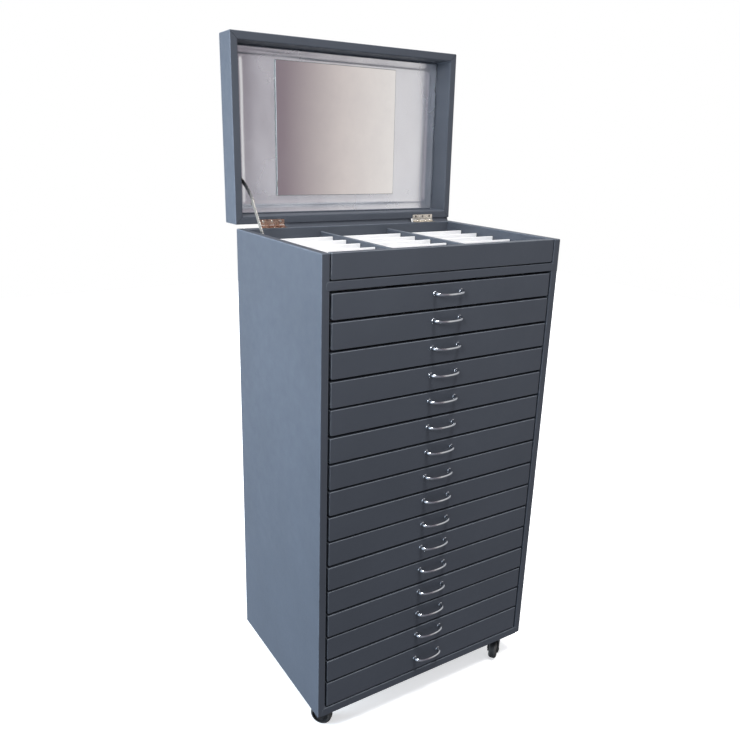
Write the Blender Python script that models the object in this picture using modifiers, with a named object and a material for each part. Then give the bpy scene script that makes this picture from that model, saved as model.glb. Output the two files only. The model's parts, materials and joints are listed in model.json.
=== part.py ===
"""Rolling eyewear drawer cabinet: sixteen shallow drawers, an open top tray under a hinged mirror lid, four casters.

Metres, +Z up. The front faces -Y. The origin is on the floor, in the middle of the bounding box with the lid
standing open. Heights called "drop" are measured down from the cabinet's top rim.
"""

import math

import bmesh
import bpy
from mathutils import Matrix, Vector

COLLECTION = "eyewear_drawer_cabinet"

# Cabinet
WIDTH = 0.600
DEPTH = 0.400
HEIGHT = 1.028
FLOOR_CLEARANCE = 0.066
PANEL = 0.0175
BACK_PANEL = 0.016
BOTTOM_PANEL = 0.0186
FIT_GAP = 0.0003
PANEL_ROUNDING = 0.0015
INNER_HALF = WIDTH / 2 - PANEL

# Front apron and the fixed shelf under the top tray
APRON_THICKNESS = 0.016
APRON_DROP = 0.0494
APRON_SIDE_GAP = 0.003
SHELF_TOP_DROP = 0.0523
SHELF_THICKNESS = 0.017

# Drawers
DRAWER_COUNT = 16
DRAWER_PITCH = 0.0582
FIRST_LEVEL_DROP = 0.0698
FIRST_FRONT_DROP = 0.0740
LAST_FRONT_DROP = 1.0065
FRONT_GAP = 0.0035
FRONT_HALF_WIDTH = 0.2785
FRONT_THICKNESS = 0.016
FRONT_ROUNDING = 0.0018
BOX_HALF_WIDTH = FRONT_HALF_WIDTH - 0.0020
BOX_WALL = 0.008
BOX_FLOOR = 0.004
BOX_HEIGHT = 0.044
BOX_LENGTH = 0.360
RUNNER_WIDTH = 0.012
RUNNER_HEIGHT = 0.0065
RUNNER_LIFT = 0.0015
RUNNER_FRONT = 0.020
BOX_LIFT = RUNNER_LIFT + RUNNER_HEIGHT + 0.0005

# Bow handles
HANDLE_OFFSET = -0.0065
HANDLE_DROP = 0.0205
LAST_HANDLE_DROP = 0.0290
HANDLE_HALF_SPAN = 0.0330
HANDLE_PROJECTION = 0.0170
HANDLE_SAG = 0.0015
HANDLE_RADIUS = 0.0024
HANDLE_FOOT_RADIUS = 0.0050
HANDLE_SEGMENTS = 10
HANDLE_NECK = 0.0015
HANDLE_SWELL_SHARPNESS = 6

# Top tray and its white folded inserts
TRAY_HALF_WIDTH = INNER_HALF - 0.001
TRAY_DEPTH = DEPTH - APRON_THICKNESS - BACK_PANEL - 0.002
TRAY_MARGIN = 0.003
TRAY_FLOOR = 0.003
DIVIDER = 0.007
DIVIDER_DROP = 0.0110
COLUMN_WIDTH = (2 * (TRAY_HALF_WIDTH - TRAY_MARGIN) - 2 * DIVIDER) / 3
RIB_COUNT = 5
RIB = 0.004
RIB_DROP = 0.0165
INSERT_SHEET = 0.0015
INSERT_CLEARANCE = 0.0005

# Lid
LID_OPEN = math.radians(91.0)
LID_THICKNESS = 0.061
LID_TOP = 0.0038
LINING_THICKNESS = 0.0010
LINING_MARGIN = 0.0006
MIRROR_WIDTH = 0.327
MIRROR_HEIGHT = 0.298
MIRROR_THICKNESS = 0.003
MIRROR_FROM_HINGE = 0.2080
MIRROR_OFFSET = -0.0095

# Butt hinges
HINGE_LENGTH = 0.062
HINGE_FROM_MIDDLE = 0.2125
LEAF_THICKNESS = 0.0010
LEAF_REACH = 0.0152
KNUCKLE_RADIUS = 0.0022
KNUCKLE_BORE = 0.0012
HINGE_PIN = 0.0010
KNUCKLES = 5
KNUCKLE_GAP = 0.0004
LID_GAP = 0.0050
AXIS_BEHIND = 0.0055
AXIS_FROM_BACK = -0.0005

# Lid stay: (behind the cabinet's middle, above the rim)
STAY_FOOT = (0.0945, -0.0090)
STAY_ELBOW = (0.1500, 0.0625)
STAY_HEAD = (0.2255, 0.1095)
STAY_STRIP = 0.0012
STAY_WIDTH = 0.0090
STAY_BOW = 0.0050
STAY_PIN = 0.0018
STAY_PIN_CLEARANCE = 0.0003
STAY_WALL_GAP = 0.0009
RIVET_HEAD_RADIUS = 0.0032
RIVET_HEAD = 0.0012
BRACKET_PLATE = 0.0010
BRACKET_HALF_LENGTH = 0.012
BRACKET_HALF_WIDTH = 0.006
BRACKET_BOSS_RADIUS = 0.0040

# Casters
CASTER_X = 0.250
CASTER_Y = 0.165
CASTER_TRAIL = 0.020
WHEEL_RADIUS = 0.025
WHEEL_WIDTH = 0.020
WHEEL_TREAD_ROUNDING = 0.006
WHEEL_STEPS = 18
AXLE_RADIUS = 0.004
AXLE_CLEARANCE = 0.0003
FORK_LEG = 0.003
FORK_HEAD_RADIUS = 0.018
FORK_HEAD_HEIGHT = 0.009
FORK_SIDE_CLEARANCE = 0.0012
CROWN_CLEARANCE = 0.0015
CROWN_LEAD = 0.012
CROWN_TAIL = 0.017
CROWN_LAP = 0.002
LEG_LEAD = 0.014
LEG_TAIL = 0.020
LEG_END_RADIUS = 0.010
LEG_TAPER = 20
AXLE_STAND_OUT = 0.0015
HUB_RADIUS = 0.012
WEB_INNER_RADIUS = 0.014
WEB_OUTER_RADIUS = 0.019
HUB_WIDTH = 0.018
WEB_WIDTH = 0.0144
CASTER_HEADINGS = {"front_left": 129, "front_right": 220, "rear_left": 75, "rear_right": 40}

# The box around everything, lid open, is centred on the origin
AXIS_ABOVE = LID_GAP / 2
HANDLE_FRONT = FIT_GAP + HANDLE_PROJECTION + HANDLE_RADIUS
LID_BACK = (
    AXIS_FROM_BACK
    + (AXIS_ABOVE + LID_THICKNESS) * math.cos(LID_OPEN - math.pi / 2)
    + (AXIS_BEHIND + DEPTH) * math.sin(LID_OPEN - math.pi / 2)
)
MIDDLE_Y = (HANDLE_FRONT - LID_BACK) / 2
BACK_Y = MIDDLE_Y + DEPTH / 2
RIM_Z = FLOOR_CLEARANCE + HEIGHT

MATERIALS = {
    # name: (base colour, roughness, metallic)
    "leatherette": ((0.115, 0.150, 0.190, 1), 0.55, 0.0),
    "satin": ((0.62, 0.62, 0.66, 1), 0.30, 0.0),
    "white_board": ((0.86, 0.86, 0.85, 1), 0.70, 0.0),
    "mirror": ((0.85, 0.85, 0.86, 1), 0.03, 1.0),
    "chrome": ((0.75, 0.75, 0.76, 1), 0.10, 1.0),
    "nickel": ((0.62, 0.59, 0.53, 1), 0.25, 1.0),
    "black_nylon": ((0.012, 0.012, 0.013, 1), 0.45, 0.0),
    "tread": ((0.018, 0.018, 0.019, 1), 0.60, 0.0),
}


def clear_scene():
    for obj in list(bpy.data.objects):
        bpy.data.objects.remove(obj, do_unlink=True)


def new_collection(name):
    collection = bpy.data.collections.new(name)
    bpy.context.scene.collection.children.link(collection)
    return collection


clear_scene()
PARTS = new_collection(COLLECTION)
HELPERS = new_collection("cutters_and_joined_shapes")


def material(name):
    found = bpy.data.materials.get(name)
    if found:
        return found
    colour, roughness, metallic = MATERIALS[name]
    made = bpy.data.materials.new(name)
    made.use_nodes = True
    shader = made.node_tree.nodes["Principled BSDF"]
    shader.inputs["Base Color"].default_value = colour
    shader.inputs["Roughness"].default_value = roughness
    shader.inputs["Metallic"].default_value = metallic
    return made


# Shapes ------------------------------------------------------------------------------------------


def mesh_from(bm, name):
    mesh = bpy.data.meshes.new(name)
    bm.to_mesh(mesh)
    bm.free()
    return mesh


def box_mesh(name, low, high):
    """A box between two corners, in the object's own coordinates."""
    low, high = Vector(low), Vector(high)
    bm = bmesh.new()
    size = Matrix.Diagonal((*(high - low), 1))
    bmesh.ops.create_cube(bm, size=1, matrix=Matrix.Translation((low + high) / 2) @ size)
    return mesh_from(bm, name)


def cylinder_mesh(name, radius, start, end, segments=24):
    """A cylinder whose axis runs from start to end."""
    start, end = Vector(start), Vector(end)
    axis = end - start
    turn = axis.to_track_quat("Z", "Y").to_matrix().to_4x4()
    bm = bmesh.new()
    bmesh.ops.create_cone(
        bm,
        cap_ends=True,
        segments=segments,
        radius1=radius,
        radius2=radius,
        depth=axis.length,
        matrix=Matrix.Translation((start + end) / 2) @ turn,
    )
    return mesh_from(bm, name)


def helper(mesh):
    """A shape that is only joined to, or cut from, another."""
    obj = bpy.data.objects.new(mesh.name, mesh)
    HELPERS.objects.link(obj)
    obj.hide_render = True
    obj.display_type = "WIRE"
    return obj


def combine(obj, other, operation):
    modifier = obj.modifiers.new(operation.lower() + "_" + other.name, "BOOLEAN")
    modifier.operation = operation
    modifier.solver = "EXACT"
    modifier.object = other
    other.parent = obj


def round_edges(obj, width, segments=2):
    bevel = obj.modifiers.new("rounded_edges", "BEVEL")
    bevel.width = width
    bevel.segments = segments
    bevel.limit_method = "ANGLE"


def evaluated_mesh(obj, name):
    """The object's shape with its modifiers applied; the object and what it was joined from are removed."""
    bpy.context.view_layer.update()
    graph = bpy.context.evaluated_depsgraph_get()
    mesh = bpy.data.meshes.new_from_object(obj.evaluated_get(graph))
    mesh.name = name
    for child in list(obj.children):
        bpy.data.objects.remove(child, do_unlink=True)
    bpy.data.objects.remove(obj, do_unlink=True)
    bm = bmesh.new()
    bm.from_mesh(mesh)
    bmesh.ops.remove_doubles(bm, verts=bm.verts, dist=0.00001)
    bm.to_mesh(mesh)
    bm.free()
    return mesh


def plate_mesh(name, loops, low_x, high_x):
    """A flat plate standing in the YZ plane between two values of X: an outline, then its holes."""
    curve = bpy.data.curves.new(name, "CURVE")
    curve.dimensions = "2D"
    curve.fill_mode = "BOTH"
    curve.extrude = (high_x - low_x) / 2
    for loop in loops:
        spline = curve.splines.new("POLY")
        spline.points.add(len(loop) - 1)
        spline.use_cyclic_u = True
        for point, place in zip(spline.points, loop):
            point.co = (place.x, place.y, 0, 1)
    plate = bpy.data.objects.new(name, curve)
    HELPERS.objects.link(plate)
    mesh = evaluated_mesh(plate, name)
    # The outline is drawn in XY and stood up: its X becomes Y, its Y becomes Z and its Z becomes X
    mesh.transform(Matrix(((0, 0, 1, 0), (1, 0, 0, 0), (0, 1, 0, 0), (0, 0, 0, 1))))
    mesh.transform(Matrix.Translation(((low_x + high_x) / 2, 0, 0)))
    return mesh


def joined_mesh(name, first, *others):
    """One mesh that is the union of several."""
    base = helper(first)
    for other in others:
        combine(base, helper(other), "UNION")
    return evaluated_mesh(base, name)


def add_part(name, mesh, material_name, parent=None, location=(0, 0, 0), rotation=(0, 0, 0)):
    """One named part. A mesh that several parts share keeps its first material."""
    obj = bpy.data.objects.new(name, mesh)
    PARTS.objects.link(obj)
    if not mesh.materials or mesh.materials[0] is None:
        mesh.materials.clear()
        mesh.materials.append(material(material_name))
    obj.location = location
    obj.rotation_euler = rotation
    obj.parent = parent
    return obj


def add_empty(name, location, rotation=(0, 0, 0), parent=None):
    obj = bpy.data.objects.new(name, None)
    PARTS.objects.link(obj)
    obj.location = location
    obj.rotation_euler = rotation
    obj.parent = parent
    return obj


def smooth_round(mesh, angle=40):
    mesh.shade_smooth()
    mesh.set_sharp_from_angle(angle=math.radians(angle))


# Cabinet -----------------------------------------------------------------------------------------


def level_bottom(level):
    """Height of a drawer level's bottom above the cabinet's underside."""
    return HEIGHT - FIRST_LEVEL_DROP - (level + 1) * DRAWER_PITCH


def side_panel(name, side, cabinet):
    """One side, with its sixteen runner battens. side is -1 for the left, +1 for the right."""
    outer, inner = side * WIDTH / 2, side * INNER_HALF
    xs = sorted((outer, inner))
    mesh = box_mesh(name, (xs[0], -DEPTH / 2, 0), (xs[1], DEPTH / 2, HEIGHT))
    panel = add_part(name, mesh, "leatherette", cabinet)
    round_edges(panel, PANEL_ROUNDING)
    bm = bmesh.new()
    length = DEPTH - FRONT_THICKNESS - BACK_PANEL - RUNNER_FRONT
    for level in range(DRAWER_COUNT):
        reach = RUNNER_WIDTH + PANEL / 4
        middle = (
            inner - side * (RUNNER_WIDTH - reach / 2),
            -DEPTH / 2 + FRONT_THICKNESS + RUNNER_FRONT / 2 + length / 2,
            level_bottom(level) + RUNNER_LIFT + RUNNER_HEIGHT / 2,
        )
        size = Matrix.Diagonal((reach, length, RUNNER_HEIGHT, 1))
        bmesh.ops.create_cube(bm, size=1, matrix=Matrix.Translation(middle) @ size)
    combine(panel, helper(mesh_from(bm, name + "_runners")), "UNION")


def cabinet_shell():
    cabinet = add_empty("cabinet", (0, MIDDLE_Y, FLOOR_CLEARANCE))
    side_panel("left_side_panel", -1, cabinet)
    side_panel("right_side_panel", 1, cabinet)

    half = INNER_HALF - FIT_GAP
    back_inner = DEPTH / 2 - BACK_PANEL
    back = box_mesh("back_panel", (-half, back_inner, 0), (half, DEPTH / 2, HEIGHT))
    round_edges(add_part("back_panel", back, "leatherette", cabinet), PANEL_ROUNDING)

    bottom = box_mesh(
        "bottom_panel",
        (-half, -DEPTH / 2, 0),
        (half, back_inner - FIT_GAP, BOTTOM_PANEL),
    )
    round_edges(add_part("bottom_panel", bottom, "leatherette", cabinet), PANEL_ROUNDING)

    shelf_top = HEIGHT - SHELF_TOP_DROP
    shelf = box_mesh(
        "upper_shelf",
        (-half, -DEPTH / 2, shelf_top - SHELF_THICKNESS),
        (half, back_inner - FIT_GAP, shelf_top),
    )
    round_edges(add_part("upper_shelf", shelf, "leatherette", cabinet), PANEL_ROUNDING)

    apron_half = INNER_HALF - APRON_SIDE_GAP
    apron = box_mesh(
        "front_apron",
        (-apron_half, -DEPTH / 2, HEIGHT - APRON_DROP),
        (apron_half, -DEPTH / 2 + APRON_THICKNESS, HEIGHT),
    )
    round_edges(add_part("front_apron", apron, "leatherette", cabinet), FRONT_ROUNDING)
    return cabinet


# Top tray ----------------------------------------------------------------------------------------


def top_tray(cabinet):
    """The grey tray board with the two long dividers that part it into three columns."""
    floor_z = HEIGHT - SHELF_TOP_DROP + FIT_GAP
    middle_y = (APRON_THICKNESS - BACK_PANEL) / 2
    half_depth = TRAY_DEPTH / 2
    half = TRAY_HALF_WIDTH
    board = ((-half, -half_depth, floor_z), (half, half_depth, floor_z + TRAY_FLOOR))
    base = helper(box_mesh("tray_board", *board))
    for side in (-1, 1):
        x = side * (COLUMN_WIDTH + DIVIDER) / 2
        divider = box_mesh(
            "tray_divider",
            (x - DIVIDER / 2, -half_depth + TRAY_MARGIN / 2, floor_z + TRAY_FLOOR / 2),
            (x + DIVIDER / 2, half_depth - TRAY_MARGIN / 2, HEIGHT - DIVIDER_DROP),
        )
        combine(base, helper(divider), "UNION")
    mesh = evaluated_mesh(base, "top_tray")
    add_part("top_tray", mesh, "leatherette", cabinet, (0, middle_y, 0))
    insert = insert_mesh(floor_z + TRAY_FLOOR + FIT_GAP, half_depth - TRAY_MARGIN)
    for name, step in (("left", -1), ("centre", 0), ("right", 1)):
        place = (step * (COLUMN_WIDTH + DIVIDER), middle_y, 0)
        add_part("tray_insert_" + name, insert, "white_board", cabinet, place)


def insert_mesh(bottom, half_depth):
    """A white sheet folded up into five cross ribs, which make six pockets."""
    half_width = COLUMN_WIDTH / 2 - INSERT_CLEARANCE
    half_length = half_depth - INSERT_CLEARANCE
    sheet = box_mesh(
        "insert_sheet",
        (-half_width, -half_length, bottom),
        (half_width, half_length, bottom + INSERT_SHEET),
    )
    pitch = (2 * half_length + RIB) / (RIB_COUNT + 1)
    ribs = []
    for index in range(RIB_COUNT):
        y = -half_length - RIB / 2 + (index + 1) * pitch
        ribs.append(
            box_mesh(
                "insert_rib",
                (-half_width, y - RIB / 2, bottom + INSERT_SHEET / 2),
                (half_width, y + RIB / 2, HEIGHT - RIB_DROP),
            )
        )
    return joined_mesh("tray_insert", sheet, *ribs)


# Drawers -----------------------------------------------------------------------------------------


def drawer_mesh(name, front_bottom, front_top):
    """Front board and open box in one. Its origin is at the level's bottom, in the middle of the front face."""
    front = helper(
        box_mesh(
            name + "_front",
            (-FRONT_HALF_WIDTH, 0, front_bottom),
            (FRONT_HALF_WIDTH, FRONT_THICKNESS, front_top),
        )
    )
    round_edges(front, FRONT_ROUNDING)
    back_y = FRONT_THICKNESS + BOX_LENGTH
    body = helper(
        box_mesh(
            name + "_box",
            (-BOX_HALF_WIDTH, FRONT_THICKNESS / 2, BOX_LIFT),
            (BOX_HALF_WIDTH, back_y, BOX_LIFT + BOX_HEIGHT),
        )
    )
    hollow = box_mesh(
        name + "_hollow",
        (-BOX_HALF_WIDTH + BOX_WALL, -FRONT_THICKNESS, BOX_LIFT + BOX_FLOOR),
        (BOX_HALF_WIDTH - BOX_WALL, back_y - BOX_WALL, BOX_LIFT + 2 * BOX_HEIGHT),
    )
    combine(body, helper(hollow), "DIFFERENCE")
    combine(front, helper(evaluated_mesh(body, name + "_body")), "UNION")
    return evaluated_mesh(front, name)


def handle_mesh():
    """A bow pull: half an ellipse out from the face, sagging a little, thicker towards its feet."""
    curve = bpy.data.curves.new("bow", "CURVE")
    curve.dimensions = "3D"
    curve.bevel_depth = HANDLE_RADIUS
    curve.bevel_resolution = 2
    curve.use_fill_caps = True
    spline = curve.splines.new("POLY")
    spline.points.add(HANDLE_SEGMENTS + 2)
    foot = HANDLE_FOOT_RADIUS / HANDLE_RADIUS
    places = [(-HANDLE_HALF_SPAN, 0.0, 0.0, foot)]
    for index in range(HANDLE_SEGMENTS + 1):
        turn = math.pi * index / HANDLE_SEGMENTS
        out = HANDLE_NECK + (HANDLE_PROJECTION - HANDLE_NECK) * math.sin(turn)
        swell = 1 + (foot - 1) * abs(math.cos(turn)) ** HANDLE_SWELL_SHARPNESS
        sag = HANDLE_SAG * math.sin(turn)
        places.append((-HANDLE_HALF_SPAN * math.cos(turn), -out, -sag, swell))
    places.append((HANDLE_HALF_SPAN, 0.0, 0.0, foot))
    for point, (x, y, z, radius) in zip(spline.points, places):
        point.co = (x, y, z, 1)
        point.radius = radius
    bow = bpy.data.objects.new("bow", curve)
    HELPERS.objects.link(bow)
    mesh = evaluated_mesh(bow, "handle")
    smooth_round(mesh, 50)
    return mesh


def drawers(cabinet):
    level_fronts = (FRONT_GAP / 2, DRAWER_PITCH - FRONT_GAP / 2)
    first_top = HEIGHT - FIRST_FRONT_DROP - level_bottom(0)
    last_bottom = HEIGHT - LAST_FRONT_DROP - level_bottom(DRAWER_COUNT - 1)
    first = drawer_mesh("first_drawer", level_fronts[0], first_top)
    middle = drawer_mesh("middle_drawer", *level_fronts)
    last = drawer_mesh("last_drawer", last_bottom, level_fronts[1])
    bow = handle_mesh()
    for level in range(DRAWER_COUNT):
        is_first, is_last = level == 0, level == DRAWER_COUNT - 1
        mesh = first if is_first else last if is_last else middle
        number = f"{level + 1:02d}"
        place = (0, -DEPTH / 2, level_bottom(level))
        drawer = add_part("drawer_" + number, mesh, "leatherette", cabinet, place)
        top = first_top if is_first else level_fronts[1]
        drop = LAST_HANDLE_DROP if is_last else HANDLE_DROP
        place = (HANDLE_OFFSET, -FIT_GAP, top - drop)
        add_part("handle_" + number, bow, "chrome", drawer, place)


# Lid ---------------------------------------------------------------------------------------------


def lid(hinge_axis):
    """The lid and what is fixed in it, modelled closed about the hinge axis; the axis's rotation opens it."""
    half = WIDTH / 2
    near, far = -AXIS_BEHIND, -AXIS_BEHIND - DEPTH
    bottom = AXIS_ABOVE
    top = bottom + LID_THICKNESS
    frame = box_mesh("lid_frame", (-half, far, bottom), (half, near, top))
    frame_part = add_part("lid_frame", frame, "leatherette", hinge_axis)
    round_edges(frame_part, PANEL_ROUNDING)
    hollow = box_mesh(
        "lid_hollow",
        (-half + PANEL, far + PANEL, bottom - PANEL),
        (half - PANEL, near - PANEL, top - LID_TOP),
    )
    combine(frame_part, helper(hollow), "DIFFERENCE")

    lining_top = top - LID_TOP - FIT_GAP
    inset = PANEL + LINING_MARGIN
    lining = box_mesh(
        "lid_lining",
        (-half + inset, far + inset, lining_top - LINING_THICKNESS),
        (half - inset, near - inset, lining_top),
    )
    add_part("lid_lining", lining, "satin", hinge_axis)

    mirror_top = lining_top - LINING_THICKNESS - FIT_GAP
    mirror = box_mesh(
        "mirror",
        (-MIRROR_WIDTH / 2, -MIRROR_HEIGHT / 2, -MIRROR_THICKNESS),
        (MIRROR_WIDTH / 2, MIRROR_HEIGHT / 2, 0),
    )
    place = (MIRROR_OFFSET, near - MIRROR_FROM_HINGE, mirror_top)
    round_edges(add_part("mirror", mirror, "mirror", hinge_axis, place), 0.0005, 1)


def knuckle_ranges(on_lid):
    """The stretches of the barrel that one leaf carries: the lid's leaf has the second and the fourth."""
    length = HINGE_LENGTH / KNUCKLES
    for index in range(KNUCKLES):
        if (index % 2 == 1) == on_lid:
            start = -HINGE_LENGTH / 2 + index * length
            yield start + KNUCKLE_GAP / 2, start + length - KNUCKLE_GAP / 2


def leaf_mesh(name, on_lid):
    """One leaf about the hinge axis: a plate, its knuckles, and on the cabinet's leaf the pin."""
    side = 1 if on_lid else -1
    face = side * (AXIS_ABOVE - FIT_GAP)
    zs = sorted((face, face - side * LEAF_THICKNESS))
    plate = box_mesh(
        name + "_plate",
        (-HINGE_LENGTH / 2, -LEAF_REACH, zs[0]),
        (HINGE_LENGTH / 2, -KNUCKLE_BORE / 2, zs[1]),
    )
    base = helper(plate)
    # The other leaf's knuckles turn in notches of this plate
    for start, end in knuckle_ranges(not on_lid):
        notch = box_mesh(
            name + "_notch",
            (start - KNUCKLE_GAP, -KNUCKLE_RADIUS - KNUCKLE_GAP, -KNUCKLE_RADIUS),
            (end + KNUCKLE_GAP, KNUCKLE_RADIUS, KNUCKLE_RADIUS),
        )
        combine(base, helper(notch), "DIFFERENCE")
    for start, end in knuckle_ranges(on_lid):
        tube = cylinder_mesh(name + "_knuckle", KNUCKLE_RADIUS, (start, 0, 0), (end, 0, 0), 20)
        combine(base, helper(tube), "UNION")
    half = HINGE_LENGTH / 2
    if on_lid:
        bore = cylinder_mesh(name + "_bore", KNUCKLE_BORE, (-2 * half, 0, 0), (2 * half, 0, 0), 12)
        combine(base, helper(bore), "DIFFERENCE")
    else:
        pin_half = half - KNUCKLE_RADIUS / 2
        pin = cylinder_mesh(name + "_pin", HINGE_PIN, (-pin_half, 0, 0), (pin_half, 0, 0), 12)
        combine(base, helper(pin), "UNION")
    mesh = evaluated_mesh(base, name)
    smooth_round(mesh)
    return mesh


def hinges(cabinet, hinge_axis):
    fixed = leaf_mesh("cabinet_leaf", on_lid=False)
    moving = leaf_mesh("lid_leaf", on_lid=True)
    axis_in_cabinet = Vector((0, DEPTH / 2 + AXIS_FROM_BACK, HEIGHT + AXIS_ABOVE))
    for name, side in (("left", -1), ("right", 1)):
        across = Vector((side * HINGE_FROM_MIDDLE, 0, 0))
        add_part(f"hinge_{name}_cabinet_leaf", fixed, "nickel", cabinet, axis_in_cabinet + across)
        add_part(f"hinge_{name}_lid_leaf", moving, "nickel", hinge_axis, across)


# Lid stay ----------------------------------------------------------------------------------------


def strip_mesh(name, start, end, bow, hole_at_start):
    """A flat bar with round ends in the YZ plane, bowed sideways in the middle, with an optional pin hole."""
    start, end = Vector(start), Vector(end)
    along = (end - start).normalized()
    across = Vector((-along.y, along.x))
    half = STAY_WIDTH / 2
    steps = 8
    middle_line = []
    for index in range(steps + 1):
        share = index / steps
        middle_line.append(start.lerp(end, share) + across * bow * math.sin(math.pi * share))
    outline = [point + across * half for point in middle_line]
    outline += [end + Matrix.Rotation(-math.pi * i / 8, 2) @ (across * half) for i in range(1, 8)]
    outline += [point - across * half for point in reversed(middle_line)]
    outline += [start - Matrix.Rotation(-math.pi * i / 8, 2) @ (across * half) for i in range(1, 8)]
    loops = [outline]
    if hole_at_start:
        radius = STAY_PIN + STAY_PIN_CLEARANCE
        loops.append(
            [start + Matrix.Rotation(math.tau * i / 16, 2) @ Vector((radius, 0)) for i in range(16)]
        )
    return plate_mesh(name, loops, -STAY_STRIP / 2, STAY_STRIP / 2)


def lid_stay(cabinet, hinge_axis):
    foot, elbow, head = Vector(STAY_FOOT), Vector(STAY_ELBOW), Vector(STAY_HEAD)
    wall = -INNER_HALF
    lower_x = wall + STAY_WALL_GAP + STAY_STRIP / 2
    upper_x = lower_x + STAY_STRIP + FIT_GAP
    in_cabinet = Vector((0, 0, HEIGHT))

    lower = helper(strip_mesh("lower_strip", (0, 0), elbow - foot, 0, hole_at_start=False))
    washer_end = wall + FIT_GAP - lower_x
    washer = cylinder_mesh("foot_washer", STAY_WIDTH / 2, (washer_end, 0, 0), (0, 0, 0), 16)
    combine(lower, helper(washer), "UNION")
    at_elbow = Vector((0, *(elbow - foot)))
    head_start = at_elbow + Vector((upper_x - lower_x + STAY_STRIP / 2 + FIT_GAP, 0, 0))
    head_end = head_start + Vector((RIVET_HEAD, 0, 0))
    rivet = cylinder_mesh("rivet", STAY_PIN, at_elbow, head_start.lerp(head_end, 0.5), 16)
    combine(lower, helper(rivet), "UNION")
    rivet_head = cylinder_mesh("rivet_head", RIVET_HEAD_RADIUS, head_start, head_end, 16)
    combine(lower, helper(rivet_head), "UNION")
    lower_mesh = evaluated_mesh(lower, "stay_lower_arm")
    lower_place = in_cabinet + Vector((lower_x, foot.x, foot.y))
    lower_arm = add_part("stay_lower_arm", lower_mesh, "nickel", cabinet, lower_place)

    upper_mesh = strip_mesh("stay_upper_arm", (0, 0), head - elbow, STAY_BOW, hole_at_start=True)
    upper_place = Vector((upper_x - lower_x, *(elbow - foot)))
    add_part("stay_upper_arm", upper_mesh, "nickel", lower_arm, upper_place)

    # The bracket on the lid, placed in the closed lid's own coordinates about the hinge axis
    axis = Vector((DEPTH / 2 + AXIS_FROM_BACK, AXIS_ABOVE))
    head_closed = Matrix.Rotation(LID_OPEN, 2) @ (head - axis)
    plate = box_mesh(
        "bracket_plate",
        (0, -BRACKET_HALF_LENGTH, -BRACKET_HALF_WIDTH),
        (BRACKET_PLATE, BRACKET_HALF_LENGTH, BRACKET_HALF_WIDTH),
    )
    boss_end = upper_x - STAY_STRIP / 2 - FIT_GAP - (wall + FIT_GAP)
    boss_radius = BRACKET_BOSS_RADIUS
    boss = cylinder_mesh("bracket_boss", boss_radius, (BRACKET_PLATE / 2, 0, 0), (boss_end, 0, 0), 16)
    bracket = joined_mesh("stay_lid_bracket", plate, boss)
    place = (wall + FIT_GAP, head_closed.x, head_closed.y)
    add_part("stay_lid_bracket", bracket, "nickel", hinge_axis, place)


# Casters -----------------------------------------------------------------------------------------


def wheel_mesh():
    """A turned wheel with a bored hub and a rounded tread, about its own X axis."""
    half = WHEEL_WIDTH / 2
    bore = AXLE_RADIUS + AXLE_CLEARANCE
    rounding = WHEEL_TREAD_ROUNDING
    profile = [(bore, HUB_WIDTH / 2), (HUB_RADIUS, HUB_WIDTH / 2)]
    profile += [(WEB_INNER_RADIUS, WEB_WIDTH / 2), (WEB_OUTER_RADIUS, WEB_WIDTH / 2)]
    for index in range(4):
        turn = math.pi / 2 * index / 3
        out = WHEEL_RADIUS - rounding + rounding * math.sin(turn)
        profile.append((out, half - rounding + rounding * math.cos(turn)))
    profile += [(radius, -height) for radius, height in reversed(profile)]
    bm = bmesh.new()
    verts = [bm.verts.new((radius, 0, height)) for radius, height in profile]
    for first, second in zip(verts, verts[1:] + verts[:1]):
        bm.edges.new((first, second))
    obj = helper(mesh_from(bm, "wheel_profile"))
    screw = obj.modifiers.new("turned", "SCREW")
    screw.axis = "Z"
    screw.steps = WHEEL_STEPS
    screw.render_steps = WHEEL_STEPS
    screw.use_merge_vertices = True
    screw.merge_threshold = 0.0001
    mesh = evaluated_mesh(obj, "caster_wheel")
    mesh.transform(Matrix.Rotation(math.pi / 2, 4, "Y"))
    smooth_round(mesh)
    return mesh


def leg_mesh(low_x, high_x, axle_z, top_z):
    """One fork leg: a plate that narrows from the crown down to a round end at the axle."""
    outline = [Vector((-LEG_LEAD, top_z)), Vector((LEG_TAIL, top_z))]
    steps = 8
    for index in range(steps + 1):
        turn = math.radians(LEG_TAPER - (180 + LEG_TAPER) * index / steps)
        around = Vector((math.cos(turn), math.sin(turn)))
        outline.append(Vector((CASTER_TRAIL, axle_z)) + LEG_END_RADIUS * around)
    return plate_mesh("leg", [outline], low_x, high_x)


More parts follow.
